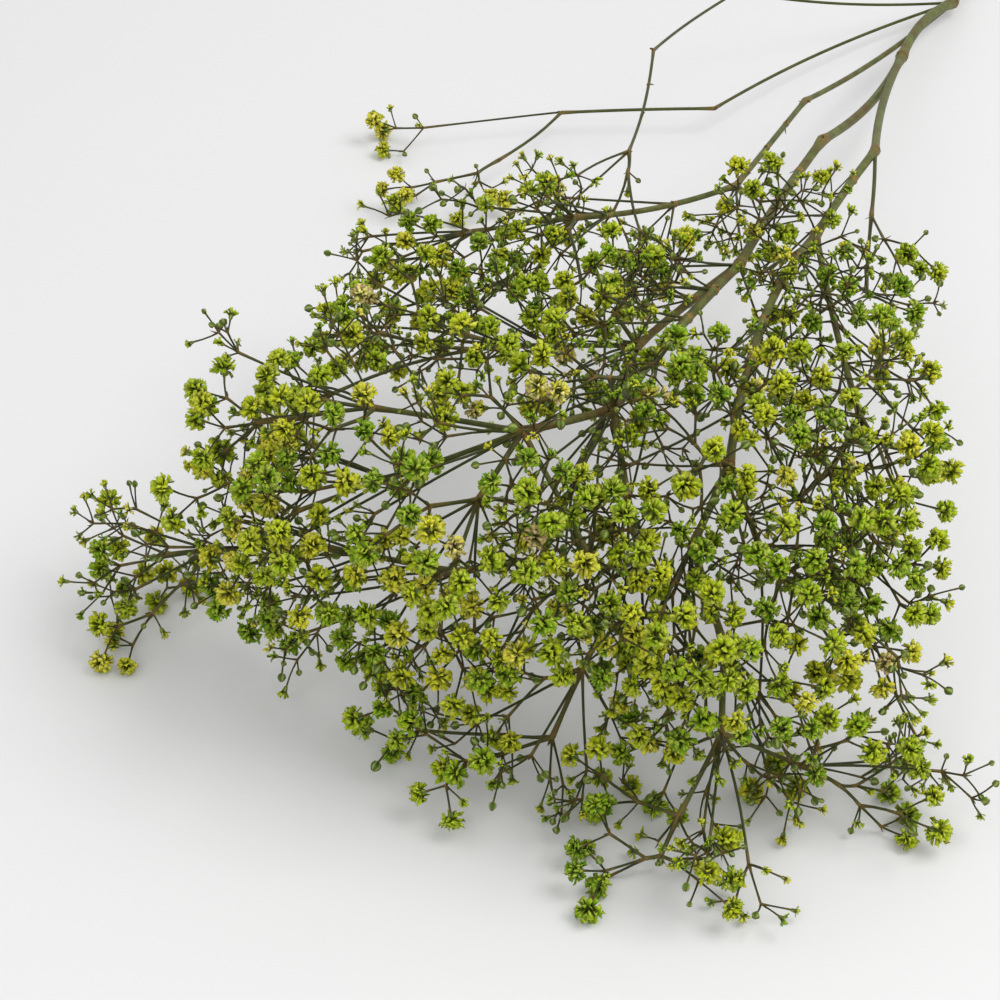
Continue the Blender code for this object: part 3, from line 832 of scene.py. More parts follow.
def mottling():
    """Uneven colour: a soft noise in the object's own space, between Low and High."""
    tree = bpy.data.node_groups.new("Mottling", "ShaderNodeTree")
    for title in ("Scale", "Low", "High"):
        tree.interface.new_socket(title, in_out="INPUT", socket_type="NodeSocketFloat")
    tree.interface.new_socket("Value", in_out="OUTPUT", socket_type="NodeSocketFloat")
    start = node(tree, "NodeGroupInput")
    space = node(tree, "ShaderNodeTexCoord")
    noise = node(tree, "ShaderNodeTexNoise")
    noise.inputs["Detail"].default_value = 3
    spread = node(tree, "ShaderNodeMapRange")
    spread.inputs["From Min"].default_value = 0.3
    spread.inputs["From Max"].default_value = 0.7
    end = node(tree, "NodeGroupOutput")
    link = tree.links.new
    link(space.outputs["Object"], noise.inputs["Vector"])
    link(start.outputs["Scale"], noise.inputs["Scale"])
    link(noise.outputs["Fac"], spread.inputs["Value"])
    link(start.outputs["Low"], spread.inputs["To Min"])
    link(start.outputs["High"], spread.inputs["To Max"])
    link(spread.outputs["Result"], end.inputs["Value"])
    return tree


MOTTLING = mottling()


def new_material(name, roughness, shine):
    """A material and its tree."""
    material = bpy.data.materials.new(name)
    material.use_nodes = True
    shader = material.node_tree.nodes["Principled BSDF"]
    shader.inputs["Roughness"].default_value = roughness
    shader.inputs["Specular IOR Level"].default_value = shine
    return material, material.node_tree


def mottle(tree, scale, low, high):
    """A patchy value between low and high. A larger scale has smaller patches."""
    made = node(tree, "ShaderNodeGroup", node_tree=MOTTLING)
    made.inputs["Scale"].default_value = scale
    made.inputs["Low"].default_value = low
    made.inputs["High"].default_value = high
    return made.outputs["Value"]


def attribute(tree, name):
    """A number that the mesh holds at each place."""
    return node(tree, "ShaderNodeAttribute", attribute_name=name).outputs["Fac"]


def blended(tree, share, first, second):
    """A colour between two, each a colour or a socket. The share is a socket."""
    mix = node(tree, "ShaderNodeMix", data_type="RGBA")
    tree.links.new(share, mix.inputs["Factor"])
    for value, socket in ((first, mix.inputs[6]), (second, mix.inputs[7])):
        if isinstance(value, tuple):
            socket.default_value = (*value, 1)
        else:
            tree.links.new(value, socket)
    return mix.outputs[2]


def combined(tree, operation, *values):
    """A Math node, clamped to 0 to 1, on sockets and numbers."""
    made = node(tree, "ShaderNodeMath", operation=operation, use_clamp=True)
    for value, socket in zip(values, made.inputs):
        if isinstance(value, (int, float)):
            socket.default_value = value
        else:
            tree.links.new(value, socket)
    return made.outputs["Value"]


def mapped(tree, value, low, high):
    """A value as a share: 0 at low and 1 at high."""
    made = node(tree, "ShaderNodeMapRange")
    made.inputs["From Min"].default_value = low
    made.inputs["From Max"].default_value = high
    tree.links.new(value, made.inputs["Value"])
    return made.outputs["Result"]


def surfaced(material, colour, scale=0, depth=0.0, strength=0.0):
    """A material with its colour and, where it has a scale, a fine grain, its depth in metres."""
    tree = material.node_tree
    shader = tree.nodes["Principled BSDF"]
    tree.links.new(colour, shader.inputs["Base Color"])
    if scale:
        bump = node(tree, "ShaderNodeBump")
        bump.inputs["Distance"].default_value = depth
        bump.inputs["Strength"].default_value = strength
        tree.links.new(mottle(tree, scale, 0, 1), bump.inputs["Height"])
        tree.links.new(bump.outputs["Normal"], shader.inputs["Normal"])
    return material


THIN_STALK = (0.028, 0.036, 0.005)
THICK_STALK = (0.078, 0.090, 0.016)
PALE_STALK = (0.230, 0.245, 0.070)
RUST = (0.130, 0.068, 0.020)
JOINT_BROWN = (0.210, 0.120, 0.030)
# The radii, in metres, of a stalk that has the thin and the thick colour
THIN_AT = 0.00030
THICK_AT = 0.00100


def stalk_material():
    material, tree = new_material("dried stalk", 0.5, 0.22)
    thickness = mapped(tree, attribute(tree, "stalk_radius"), THIN_AT, THICK_AT)
    colour = blended(tree, thickness, THIN_STALK, THICK_STALK)
    patches = combined(tree, "MULTIPLY", mottle(tree, 160, 0.0, 0.7), thickness)
    colour = blended(tree, patches, colour, PALE_STALK)
    rusty = combined(tree, "MULTIPLY", mottle(tree, 95, -0.7, 0.9), thickness)
    colour = blended(tree, rusty, colour, RUST)
    streaks = mottle(tree, 900, 0.0, 0.5)
    colour = blended(tree, streaks, colour, THIN_STALK)
    brown = combined(tree, "MULTIPLY", attribute(tree, "joint"), mottle(tree, 700, 0.2, 0.8))
    colour = blended(tree, brown, colour, JOINT_BROWN)
    return surfaced(material, colour, 2600, 0.00006, 0.5)


STALK = stalk_material()
PATHS = path_tree()


def stalks_along(name, paths, sides):
    """A piece of stalks, one along each path."""
    return grown(name, edge_seeds(name, paths), PATHS, Sides=sides, Material=STALK)


main_stalk = stalks_along("main_stalk", frame_paths, FRAME_FACETS)
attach(main_stalk, "root")
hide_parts("stem")
twigs = stalks_along("twigs", twig_paths, TWIG_FACETS)
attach(twigs, "root")
for group, numbers in GROUPS.items():
    title = f"stalks_{group}"
    paths = [path for number in numbers for path in spray_paths[number]]
    stalks = stalks_along(title, paths, SPRAY_FACETS)
    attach(stalks, "root")
    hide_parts(*(f"spray_{number + 1:02d}" for number in numbers))

# JOINTS AND BRACTS
# Where stalks part, the joint is swollen and brown, with a pair of small dry pointed bracts.
# Both are part of the plant; each is one small shape, copied to every fork.


class Shape:
    """A mesh in the making: places, faces, and one number a place for each named attribute."""

    def __init__(self):
        self.places = []
        self.faces = []
        self.numbers = {}

    def add(self, at, **numbers):
        self.places.append(Vector(at))
        for title, value in numbers.items():
            self.numbers.setdefault(title, []).append(value)
        return len(self.places) - 1

    def ring(self, height, radius, sides, **numbers):
        turns = [2 * math.pi * k / sides for k in range(sides)]
        return [self.add((radius * math.cos(a), radius * math.sin(a), height), **numbers) for a in turns]

    def join(self, lower, upper):
        """Joins a ring to the next one up, or to a single place."""
        count = len(lower)
        for k in range(count):
            after = (k + 1) % count
            if len(upper) == 1:
                self.faces.append((lower[k], lower[after], upper[0]))
            else:
                self.faces.append((lower[k], lower[after], upper[after], upper[k]))

    def stack(self, rings):
        """Joins each ring to the next."""
        for lower, upper in zip(rings, rings[1:]):
            self.join(lower, upper)

    def close(self, ring, foot):
        """Closes the lowest ring down to one place."""
        self.faces += [(b, a, foot) for a, b in zip(ring, ring[1:] + ring[:1])]

    def solid(self, rings):
        """Joins each ring to the next, and closes both ends flat."""
        self.stack(rings)
        self.faces.append(tuple(rings[0][::-1]))
        self.faces.append(tuple(rings[-1]))

    def mesh(self, name):
        made = bpy.data.meshes.new(name)
        made.from_pydata([at * MM for at in self.places], [], self.faces)
        for title, values in self.numbers.items():
            made.attributes.new(title, "FLOAT", "POINT").data.foreach_set("value", values)
        made.shade_smooth()
        return made


def shelf(name, shapes):
    """A collection that holds the shapes to be copied. It isn't in the scene."""
    holder = bpy.data.collections.new(name)
    for number, shape in enumerate(shapes):
        title = f"{name}_{number:02d}"
        holder.objects.link(bpy.data.objects.new(title, shape.mesh(title)))
    return holder


def copy_tree():
    """Sets one of the Shapes on each point, at its turn and size."""
    tree = shape_tree("Shapes on points", "Shapes", "NodeSocketCollection")
    start = node(tree, "NodeGroupInput")
    shapes = node(tree, "GeometryNodeCollectionInfo")
    shapes.inputs["Separate Children"].default_value = True
    shapes.inputs["Reset Children"].default_value = True
    which = named(tree, "which", "INT")
    turn = named(tree, "turn", "FLOAT_VECTOR")
    turned = node(tree, "FunctionNodeEulerToRotation")
    size = named(tree, "size", "FLOAT")
    copies = node(tree, "GeometryNodeInstanceOnPoints")
    copies.inputs["Pick Instance"].default_value = True
    link = tree.links.new
    link(start.outputs["Geometry"], copies.inputs["Points"])
    link(start.outputs["Shapes"], shapes.inputs["Collection"])
    link(shapes.outputs["Instances"], copies.inputs["Instance"])
    link(which.outputs["Attribute"], copies.inputs["Instance Index"])
    link(turn.outputs["Attribute"], turned.inputs["Euler"])
    link(turned.outputs["Rotation"], copies.inputs["Rotation"])
    link(size.outputs["Attribute"], copies.inputs["Scale"])
    return finished(tree, start, copies.outputs["Instances"])


Copy = namedtuple("Copy", "which at axis spin size shade")


def point_seeds(name, copies):
    """A mesh of single points, one for each copy, turned so that its +Z looks along the axis."""
    mesh = bpy.data.meshes.new(name)
    mesh.from_pydata([to_frame(copy.at) for copy in copies], [], [])
    turns = []
    for copy in copies:
        upright = Vector((0, 0, 1)).rotation_difference(copy.axis)
        turns += (upright @ Quaternion((0, 0, 1), copy.spin)).to_euler()
    mesh.attributes.new("turn", "FLOAT_VECTOR", "POINT").data.foreach_set("vector", turns)
    for title, kind in (("which", "INT"), ("size", "FLOAT"), ("shade", "FLOAT")):
        values = [getattr(copy, title) for copy in copies]
        mesh.attributes.new(title, kind, "POINT").data.foreach_set("value", values)
    return mesh


COPIES = copy_tree()


def copied_to(name, copies, shapes, material):
    """A piece of copies of the shapes."""
    return grown(name, point_seeds(name, copies), COPIES, Shapes=shapes, Material=material)


KNOT_FORMS = 3
KNOT_SIDES = 7
# A knot's foot, its rings as height and radius, and its top
KNOT_FOOT = -1.2
KNOT_RINGS = ((-0.6, 0.85), (0.1, 1.0), (0.7, 0.8))
KNOT_TOP = 1.1
KNOT_UNEVEN = (0.92, 1.08)


def knot_shape(rng):
    """A swollen joint one millimetre in radius, a little uneven."""
    shape = Shape()
    foot = shape.add((0, 0, KNOT_FOOT))
    rings = [
        shape.ring(height, radius * rng.uniform(*KNOT_UNEVEN), KNOT_SIDES)
        for height, radius in KNOT_RINGS
    ]
    top = [shape.add((0, 0, KNOT_TOP))]
    shape.stack(rings + [top])
    shape.close(rings[0], foot)
    return shape


BRACT_FORMS = 3
# A bract one millimetre long: half its width, its thickness and its curl
BRACT_HALF = (0.13, 0.2)
BRACT_THICK = 0.09
BRACT_CURL = (0.1, 0.4)
# Its rows, as height and share of the width
BRACT_ROWS = ((0.0, 0.5), (0.35, 1.0), (0.7, 0.6))


def bract_shape(rng):
    """One dry bract, one millimetre long, pointed, with its foot at the origin."""
    shape = Shape()
    half = rng.uniform(*BRACT_HALF)
    curl = rng.uniform(*BRACT_CURL)
    rings = []
    for height, share in BRACT_ROWS:
        out, wide = curl * height * height, half * share
        corners = ((out, -wide, height), (out + BRACT_THICK, 0, height), (out, wide, height))
        rings.append([shape.add(corner) for corner in corners])
    tip = [shape.add((curl, 0, 1.0))]
    shape.stack(rings + [tip])
    shape.faces.append(tuple(rings[0][::-1]))
    return shape


shape_rng = random.Random(SEED + 2)
KNOTS = shelf("knot", [knot_shape(shape_rng) for _ in range(KNOT_FORMS)])
BRACTS = shelf("bract", [bract_shape(shape_rng) for _ in range(BRACT_FORMS)])
KNOT_WIDTH = 1.3
# How far a knot or a bract is turned round its own length, in radians
SPIN = (0, 6)
BRACT_LENGTH = (1.3, 2.6)
# A bract is longer on a thicker stalk: at no thickness, a millimetre of radius more, and at most
BRACT_GROWTH = (0.75, 0.5, 1.3)
BRACT_LEAN = (22, 60)
# How far out on the stalk a bract stands, in radii, and how low it may point
BRACT_OUT = 0.6
LOWEST_BRACT = 0.4

knots, bracts = [], []
for trunk in trunks:
    joints += [(limb.points[-1], limb.axis(), slim(limb)) for limb in limbs_of(trunk) if limb.above]
for at, axis, radius in joints:
    size = radius * KNOT_WIDTH
    which, spin = shape_rng.randrange(KNOT_FORMS), shape_rng.uniform(*SPIN)
    knots.append(Copy(which, at, axis, spin, size, shape_rng.random()))
least, gain, most = BRACT_GROWTH
for at, axis, radius in joints + twig_joints:
    around = shape_rng.uniform(0, 360)
    for half in (0, 180):
        way = leaning(axis, shape_rng.uniform(*BRACT_LEAN), around + half)
        length = shape_rng.uniform(*BRACT_LENGTH) * min(most, least + radius * gain)
        foot = at + leaning(axis, 90, around + half) * radius * BRACT_OUT
        if (foot + way * length).z > LOWEST_BRACT:
            which, spin = shape_rng.randrange(BRACT_FORMS), shape_rng.uniform(*SPIN)
            bracts.append(Copy(which, foot, way, spin, length, shape_rng.random()))


def joint_material():
    material, tree = new_material("brown joint", 0.6, 0.2)
    colour = blended(tree, mottle(tree, 500, 0, 1), (0.060, 0.045, 0.018), JOINT_BROWN)
    colour = blended(tree, mottle(tree, 1500, 0, 0.8), colour, (0.34, 0.21, 0.06))
    return surfaced(material, colour, 3000, 0.00010, 0.6)


def bract_material():
    material, tree = new_material("dry bract", 0.65, 0.2)
    colour = blended(tree, attribute(tree, "shade"), (0.030, 0.040, 0.012), (0.110, 0.065, 0.025))
    colour = blended(tree, mottle(tree, 1200, 0, 0.5), colour, (0.20, 0.15, 0.06))
    return surfaced(material, colour)


for title, copies, shapes, material in (
    ("joints", knots, KNOTS, joint_material()),
    ("bracts", bracts, BRACTS, bract_material()),
):
    piece = copied_to(title, copies, shapes, material)
    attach(piece, "root")

# THE CUT END
# The stem was cut off square. The cut shows a ring of pale dry wood under the bark, round a
# darker, softer middle.
CUT_FACETS = 24
# The rings of the cut, as height, radius and how near the bark its colour is
CUT_RINGS = (
    (0.0, 0.94, 1.0),
    (0.10, 0.94, 1.0),
    (0.13, 0.86, 0.8),
    (0.10, 0.42, 0.42),
    (0.04, 0.36, 0.0),
)
CUT_FOOT = -0.2
CUT_MIDDLE = 0.02


def cut_shape():
    """The cut face one millimetre in radius, a shallow disc with its middle dried back."""
    shape = Shape()
    foot = shape.add((0, 0, CUT_FOOT), out=1.0)
    rings = [shape.ring(height, radius, CUT_FACETS, out=out) for height, radius, out in CUT_RINGS]
    middle = [shape.add((0, 0, CUT_MIDDLE), out=0.0)]
    shape.stack(rings + [middle])
    shape.close(rings[0], foot)
    return shape


def cut_material():
    material, tree = new_material("cut wood", 0.75, 0.2)
    wood = blended(tree, mottle(tree, 1800, 0, 1), (0.42, 0.37, 0.20), (0.56, 0.50, 0.30))
    middle = blended(tree, mottle(tree, 2500, 0, 1), (0.20, 0.17, 0.08), (0.32, 0.27, 0.14))
    colour = blended(tree, mapped(tree, attribute(tree, "out"), 0.2, 0.6), middle, wood)
    colour = blended(tree, mapped(tree, attribute(tree, "out"), 0.8, 1.0), colour, RUST)
    return surfaced(material, colour, 4000, 0.00008, 0.6)


CUT_FACES = shelf("cut", [cut_shape()])
cut_at = frame_paths[0][0][0]
cut_copy = Copy(0, cut_at, (cut_at - frame_paths[0][1][0]).normalized(), 0.0, CUT_RADIUS, 0.5)
cut_face = copied_to("cut_face", [cut_copy], CUT_FACES, cut_material())
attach(cut_face, "root")

# CALYCES AND BUDS
# Each flower and each bud sits in a green cup of five sepals, dark green down the middle of
# each and pale at the seams between them. A bud's cup is closed over it, with five points.
CUP_FORMS = 3
CUP_SIDES = 10
SMALL_CUP_SIDES = 6
# How far out a sepal's middle and a seam stand, and how uneven they are
SEPAL_OUT = 1.05
SEAM_OUT = 0.96
CUP_UNEVEN = (0.97, 1.03)
# How far a cup's foot is below its first ring, and its lid below its last
CUP_FOOT = 0.05
CUP_LID = 0.1


def cup_shape(rings, points_up, sides, rng):
    """A calyx through rings of height and radius, with its sepals' tips points_up higher."""
    shape = Shape()
    foot = shape.add((0, 0, rings[0][0] - CUP_FOOT), seam=0.0, up=0.0)
    top_height = rings[-1][0]
    made = []
    for number, (height, radius) in enumerate(rings):
        ring = []
        for k in range(sides):
            angle = 2 * math.pi * k / sides
            middle = k % 2 == 0
            lift = points_up if middle and number == len(rings) - 1 else 0
            reach = radius * (SEPAL_OUT if middle else SEAM_OUT) * rng.uniform(*CUP_UNEVEN)
            at = (reach * math.cos(angle), reach * math.sin(angle), height + lift)
            ring.append(shape.add(at, seam=0.0 if middle else 1.0, up=height / top_height))
        made.append(ring)
    shape.stack(made)
    shape.close(made[0], foot)
    lid = [shape.add((0, 0, top_height - CUP_LID), seam=0.5, up=1.0)]
    shape.join(made[-1], lid)
    return shape


CALYX_RINGS = ((0.0, 0.34), (0.5, 0.78), (1.8, 1.05))
BUD_RINGS = ((0.0, 0.34), (0.35, 0.95), (1.1, 1.25), (1.8, 1.05), (2.35, 0.38))
CALYX_POINT = 0.45
BUD_POINT = 0.22
# The first form of each kind of cup
CUP_KINDS = {kind: CUP_FORMS * k for k, kind in enumerate(("bloom", "bud", "opening", "small bud"))}
CUPS = shelf(
    "cup",
    [
        cup_shape(rings, points_up, sides, shape_rng)
        for sides in (CUP_SIDES, SMALL_CUP_SIDES)
        for rings, points_up in ((CALYX_RINGS, CALYX_POINT), (BUD_RINGS, BUD_POINT))
        for _ in range(CUP_FORMS)
    ],
)


def cup_material():
    material, tree = new_material("striped calyx", 0.55, 0.25)
    green = blended(tree, attribute(tree, "shade"), (0.024, 0.052, 0.004), (0.075, 0.125, 0.008))
    green = blended(tree, mottle(tree, 900, 0, 0.4), green, (0.15, 0.21, 0.02))
    seam = mapped(tree, attribute(tree, "seam"), 0.45, 0.95)
    colour = blended(tree, combined(tree, "MULTIPLY", seam, 0.85), green, (0.30, 0.37, 0.09))
    tip = mapped(tree, attribute(tree, "up"), 0.8, 1.3)
    colour = blended(tree, tip, colour, (0.17, 0.12, 0.04))
    return surfaced(material, colour, 2500, 0.00006, 0.5)


CUP = cup_material()

# THE FLOWERS
# A double flower is a crumpled ball of some fifty narrow petals, thin and papery, each notched
# at its tip and curled as it dried. They stand out of the calyx to all sides, the outer ones
# flat and the inner ones upright. The dye left them from deep green to lime and yellow.
PETALS = 54
GOLDEN_TURN = 137.5
# How far down the outer petals lean, in degrees
OUTERMOST = 118.0
BALL_MIDDLE = 1.75
BALL_REACH = (2.55, 3.4)
PETAL_FOOT = 1.25
PETAL_WIDTH = (0.85, 1.45)
# Half the width along a petal, from foot to tip, in widths
PETAL_FORM = (0.18, 0.4, 0.55)
# How deep a petal is folded along its middle, in widths
PETAL_FOLD = (0.2, 0.6)
NOTCH = 0.28
CRUMPLE = 0.3
CURL = 1.15
TWIST = 1.5
# Where a petal's foot stands, and where along it and how far up it bows
FOOT_OUT = 0.3
BOW_ALONG = 0.45
BOW_UP = 0.9
# The fold at the foot, and how unevenly it is pressed at a petal's edges and its middle
FOOT_FOLD = 0.2
EDGE_PRESS = (0.5, 2.2)
MIDDLE_PRESS = (0.3, 1.0)
# How far a petal is out of its even place, in degrees up and round
ASTRAY_UP = 24
ASTRAY_ROUND = 30


def add_petal(shape, around, polar, rng):
    """One petal, closed all round: narrow at its foot, broad and notched at its tip."""
    out = Vector((math.cos(around), math.sin(around), 0))
    up = Vector((0, 0, 1))
    side = up.cross(out)
    foot = out * FOOT_OUT + up * PETAL_FOOT
    tip = up * BALL_MIDDLE + (out * math.sin(polar) + up * math.cos(polar)) * rng.uniform(*BALL_REACH)
    bow = foot.lerp(tip, BOW_ALONG) + up * BOW_UP * math.sin(polar)
    width, tone, curl = rng.uniform(*PETAL_WIDTH), rng.random(), rng.uniform(-CURL, CURL)
    fold, twist = rng.uniform(*PETAL_FOLD) * rng.choice((-1, 1)), rng.uniform(-TWIST, TWIST)
    rings = []
    for row, wide in enumerate(PETAL_FORM):
        share = row / (len(PETAL_FORM) - 1)
        low, high = foot.lerp(bow, share), bow.lerp(tip, share)
        way = (high - low).normalized()
        normal = way.cross(side)
        across = (side * math.cos(twist * share) + normal * math.sin(twist * share)) * wide * width
        lift = normal * math.cos(twist * share) - side * math.sin(twist * share)
        middle = low.lerp(high, share) + normal * curl * share**3
        middle += lift * rng.uniform(-CRUMPLE, CRUMPLE) * share
        edge = lift * fold * wide * width * (share + FOOT_FOLD)
        right = middle + across + edge * rng.uniform(*EDGE_PRESS)
        left = middle - across + edge * rng.uniform(*EDGE_PRESS)
        middle -= edge * rng.uniform(*MIDDLE_PRESS) + way * NOTCH * (share == 1)
        # The corners at a petal's two edges carry a painted highlight, and its middle none
        corners = ((right, 1), (left, 1), (middle, 0))
        if fold < 0:
            corners = corners[::-1]
        rings.append([shape.add(corner, along=share, tone=tone, rim=rim) for corner, rim in corners])
    shape.solid(rings)


def flower_shape(rng, petals, outermost):
    """A ball of petals, spread evenly over it by the golden angle, and then a little out of place."""
    shape = Shape()
    lowest = math.cos(math.radians(outermost))
    for number in range(petals):
        height = lowest + (1 - lowest) * (number + 0.5) / petals
        polar = math.acos(height) + math.radians(rng.uniform(-ASTRAY_UP, ASTRAY_UP))
        around = math.radians(number * GOLDEN_TURN + rng.uniform(-ASTRAY_ROUND, ASTRAY_ROUND))
        add_petal(shape, around, polar, rng)
    return shape


# Full flowers, and then the tufts of opening buds
RUFFS = 8
TUFTS = 9
TUFT_PETALS = 11
TUFT_OUTERMOST = 58.0
FLOWERS = shelf(
    "flower",
    [flower_shape(shape_rng, PETALS, OUTERMOST) for _ in range(RUFFS)]
    + [flower_shape(shape_rng, TUFT_PETALS, TUFT_OUTERMOST) for _ in range(TUFTS)],
)

# The dye's colours by shade, from 0 to 1
DYED = (
    (0.00, (0.072, 0.205, 0.002)),
    (0.25, (0.185, 0.345, 0.003)),
    (0.50, (0.360, 0.455, 0.004)),
    (0.70, (0.520, 0.530, 0.010)),
    (0.84, (0.710, 0.620, 0.055)),
    (0.93, (0.860, 0.780, 0.300)),
    (1.00, (0.500, 0.340, 0.180)),
)
# Painted shade: the dark green that a petal turns towards its foot, deep in the ball of the flower
PETAL_PAINTED_SHADE = (0.030, 0.055, 0.002)
# Painted highlight: the pale lime that lightens the petals' edges and tips
PETAL_PAINTED_HIGHLIGHT = (0.790, 0.820, 0.130)


def petal_material():
    material, tree = new_material("dyed petals", 0.6, 0.15)
    moved = combined(tree, "ADD", attribute(tree, "shade"), mottle(tree, 300, -0.09, 0.09))
    toned = combined(tree, "MULTIPLY_ADD", attribute(tree, "tone"), 0.18, moved)
    ramp = node(tree, "ShaderNodeValToRGB")
    ramp.color_ramp.elements.remove(ramp.color_ramp.elements[1])
    for number, (place_on, colour) in enumerate(DYED):
        if number:
            ramp.color_ramp.elements.new(place_on)
        ramp.color_ramp.elements[number].position = place_on
        ramp.color_ramp.elements[number].color = (*colour, 1)
    tree.links.new(toned, ramp.inputs["Fac"])
    # Painted shade: each petal darkens from its tip down to its foot, in the heart of the flower
    foot = combined(tree, "MULTIPLY", mapped(tree, attribute(tree, "along"), 0.95, 0.35), 0.9)
    colour = blended(tree, foot, ramp.outputs["Color"], PETAL_PAINTED_SHADE)
    # Painted highlight along the petals' edges, patchy and strongest at their tips
    rim = mapped(tree, attribute(tree, "rim"), 0.55, 1.0)
    rim = combined(tree, "MULTIPLY", rim, mottle(tree, 1400, 0.0, 0.85))
    rim = combined(tree, "MULTIPLY", rim, attribute(tree, "along"))
    colour = blended(tree, rim, colour, PETAL_PAINTED_HIGHLIGHT)
    return surfaced(material, colour, 3200, 0.00008, 0.6)


PETAL = petal_material()
# How the dye took: how often a head of flowers is of each shade
SHADES = (0.03, 0.11, 0.20, 0.27, 0.33, 0.38, 0.43, 0.49, 0.57, 0.66)
SHADE_SPREAD = 0.12
# How often the shade changes at a fork, and what a faded flower's is
SHADE_CHANGES = 0.5
FADED_SHADE = (0.76, 0.95)
FADED_SHARE = 0.015
# The deepest and the palest shade of a flower that hasn't faded
SHADE_LIMITS = (0.02, 0.70)
# Places, in millimetres on the plant, round which the flowers are cream or tan, and their shade
FADED_PLACES = (
    ((14, -6, 92), 0.80),
    ((2, 44, 65), 0.80),
    ((36, 8, 86), 0.74),
    ((-56, 46, 66), 0.99),
    ((26, -45, 79), 0.99),
)
FADED_REACH = 5.5

bloom_rng = random.Random(SEED + 3)


def dyed(head_shade, at):
    """How the dye took on the flower there."""
    deepest, palest = SHADE_LIMITS
    shade = min(palest, max(deepest, head_shade + bloom_rng.gauss(0, SHADE_SPREAD)))
    if bloom_rng.random() < FADED_SHARE:
        shade = bloom_rng.uniform(*FADED_SHADE)
    for middle, faded in FADED_PLACES:
        if (at - Vector(middle)).length < FADED_REACH:
            shade = faded
    return shade


def small_bud(tip, shade, flowers, cups):
    """Adds a small bud's cup, and its petals if it opens."""
    spin = bloom_rng.uniform(0, 2 * math.pi)
    which = CUP_KINDS[tip.kind] + bloom_rng.randrange(CUP_FORMS)
    cups.append(Copy(which, tip.foot, tip.axis, spin, tip.size, bloom_rng.random()))
    if tip.kind == "opening":
        which = RUFFS + bloom_rng.randrange(TUFTS)
        flowers.append(Copy(which, tip.foot, tip.axis, spin, tip.size, dyed(shade, tip.foot)))


for group, numbers in GROUPS.items():
    flowers, cups = [], []
    for number in numbers:
        head_shade = bloom_rng.choice(SHADES)
        for limb in limbs_of(trunks[number]):
            if not limb.tip:
                if bloom_rng.random() < SHADE_CHANGES:
                    head_shade = bloom_rng.choice(SHADES)
                continue
            axis = (limb.tip.centre - limb.points[0]).normalized()
            foot = limb.points[-1]
            spin = bloom_rng.uniform(0, 2 * math.pi)
            green = bloom_rng.random()
            cup = CUP_KINDS[limb.tip.kind] + bloom_rng.randrange(CUP_FORMS)
            cups.append(Copy(cup, foot, axis, spin, limb.tip.size, green))
            if limb.tip.kind == "bud":
                continue
            shade = dyed(head_shade, limb.tip.centre)
            flowers.append(Copy(bloom_rng.randrange(RUFFS), foot, axis, spin, limb.tip.size, shade))
        for tip in extra_tips[number]:
            small_bud(tip, head_shade, flowers, cups)
    nodes = [f"spray_{number + 1:02d}" for number in numbers]
    for title, copies, shapes, material, slot in (
        (f"petals_{group}", flowers, FLOWERS, PETAL, "petal"),
        (f"cups_{group}", cups, CUPS, CUP, "bud"),
    ):
        piece = copied_to(title, copies, shapes, material)
        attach(piece, "root")
        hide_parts(*nodes)

flowers, cups = [], []
for tip in twig_tips:
    small_bud(tip, bloom_rng.choice(SHADES), flowers, cups)
for title, copies, shapes, material, slot in (
    ("twig_petals", flowers, FLOWERS, PETAL, "petal"),
    ("twig_buds", cups, CUPS, CUP, "bud"),
):
    piece = copied_to(title, copies, shapes, material)
    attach(piece, "root")

# THE LEAF
# Almost all leaves have dropped. One small narrow leaf is left, near the foot of the stem's
# lower right branches: green, fleshy, folded along its middle, with a dry brown tip.
LEAF_SPRAY = 58
LEAF_BRANCH = 0
LEAF_LENGTH = 9.5
LEAF_WIDTH = 2.6
LEAF_ROWS = 8
LEAF_THICKNESS = 0.35
# How far its tip bends, how deep it is folded, and how much thinner its tip is
LEAF_BEND = 1.4
LEAF_FOLD = 0.35
LEAF_THINS = 0.6
# Its outline: where the curve starts and how far it runs, and how blunt it is
LEAF_START = 0.06
LEAF_RUN = 0.92
LEAF_BLUNT = 0.8
LEAF_WAY = (0.29, 0.66, 0.67)


def leaf_shape():
    """A narrow leaf along +Z: a ring of four at each row, folded a little and curved."""
    shape = Shape()
    rings = []
    for row in range(LEAF_ROWS + 1):
        share = row / LEAF_ROWS
        outline = math.sin(math.pi * min(1, LEAF_START + share * LEAF_RUN)) ** LEAF_BLUNT
        half = LEAF_WIDTH / 2 * outline
        bend = LEAF_BEND * share * share
        height = LEAF_LENGTH * share
        thick = LEAF_THICKNESS / 2 * (1 - LEAF_THINS * share)
        corners = (
            (bend + LEAF_FOLD * half, half, height),
            (bend - thick, 0, height),
            (bend + LEAF_FOLD * half, -half, height),
            (bend + thick, 0, height),
        )
        rings.append([shape.add(corner, along=share) for corner in corners])
    shape.solid(rings)
    return shape


def leaf_material():
    material, tree = new_material("leaf", 0.45, 0.35)
    colour = blended(tree, mottle(tree, 450, 0, 1), (0.060, 0.190, 0.008), (0.140, 0.330, 0.016))
    tip = mapped(tree, attribute(tree, "along"), 0.72, 1.0)
    colour = blended(tree, tip, colour, (0.16, 0.085, 0.025))
    return surfaced(material, colour, 1500, 0.00008, 0.5)


LEAVES = shelf("leaf", [leaf_shape()])
leaf_root = trunks[LEAF_SPRAY - 1].above[LEAF_BRANCH].points[-1]
leaf_copy = Copy(0, leaf_root, Vector(LEAF_WAY).normalized(), 1.0, 1.0, 0.5)
leaf = copied_to("leaf", [leaf_copy], LEAVES, leaf_material())
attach(leaf, "root")

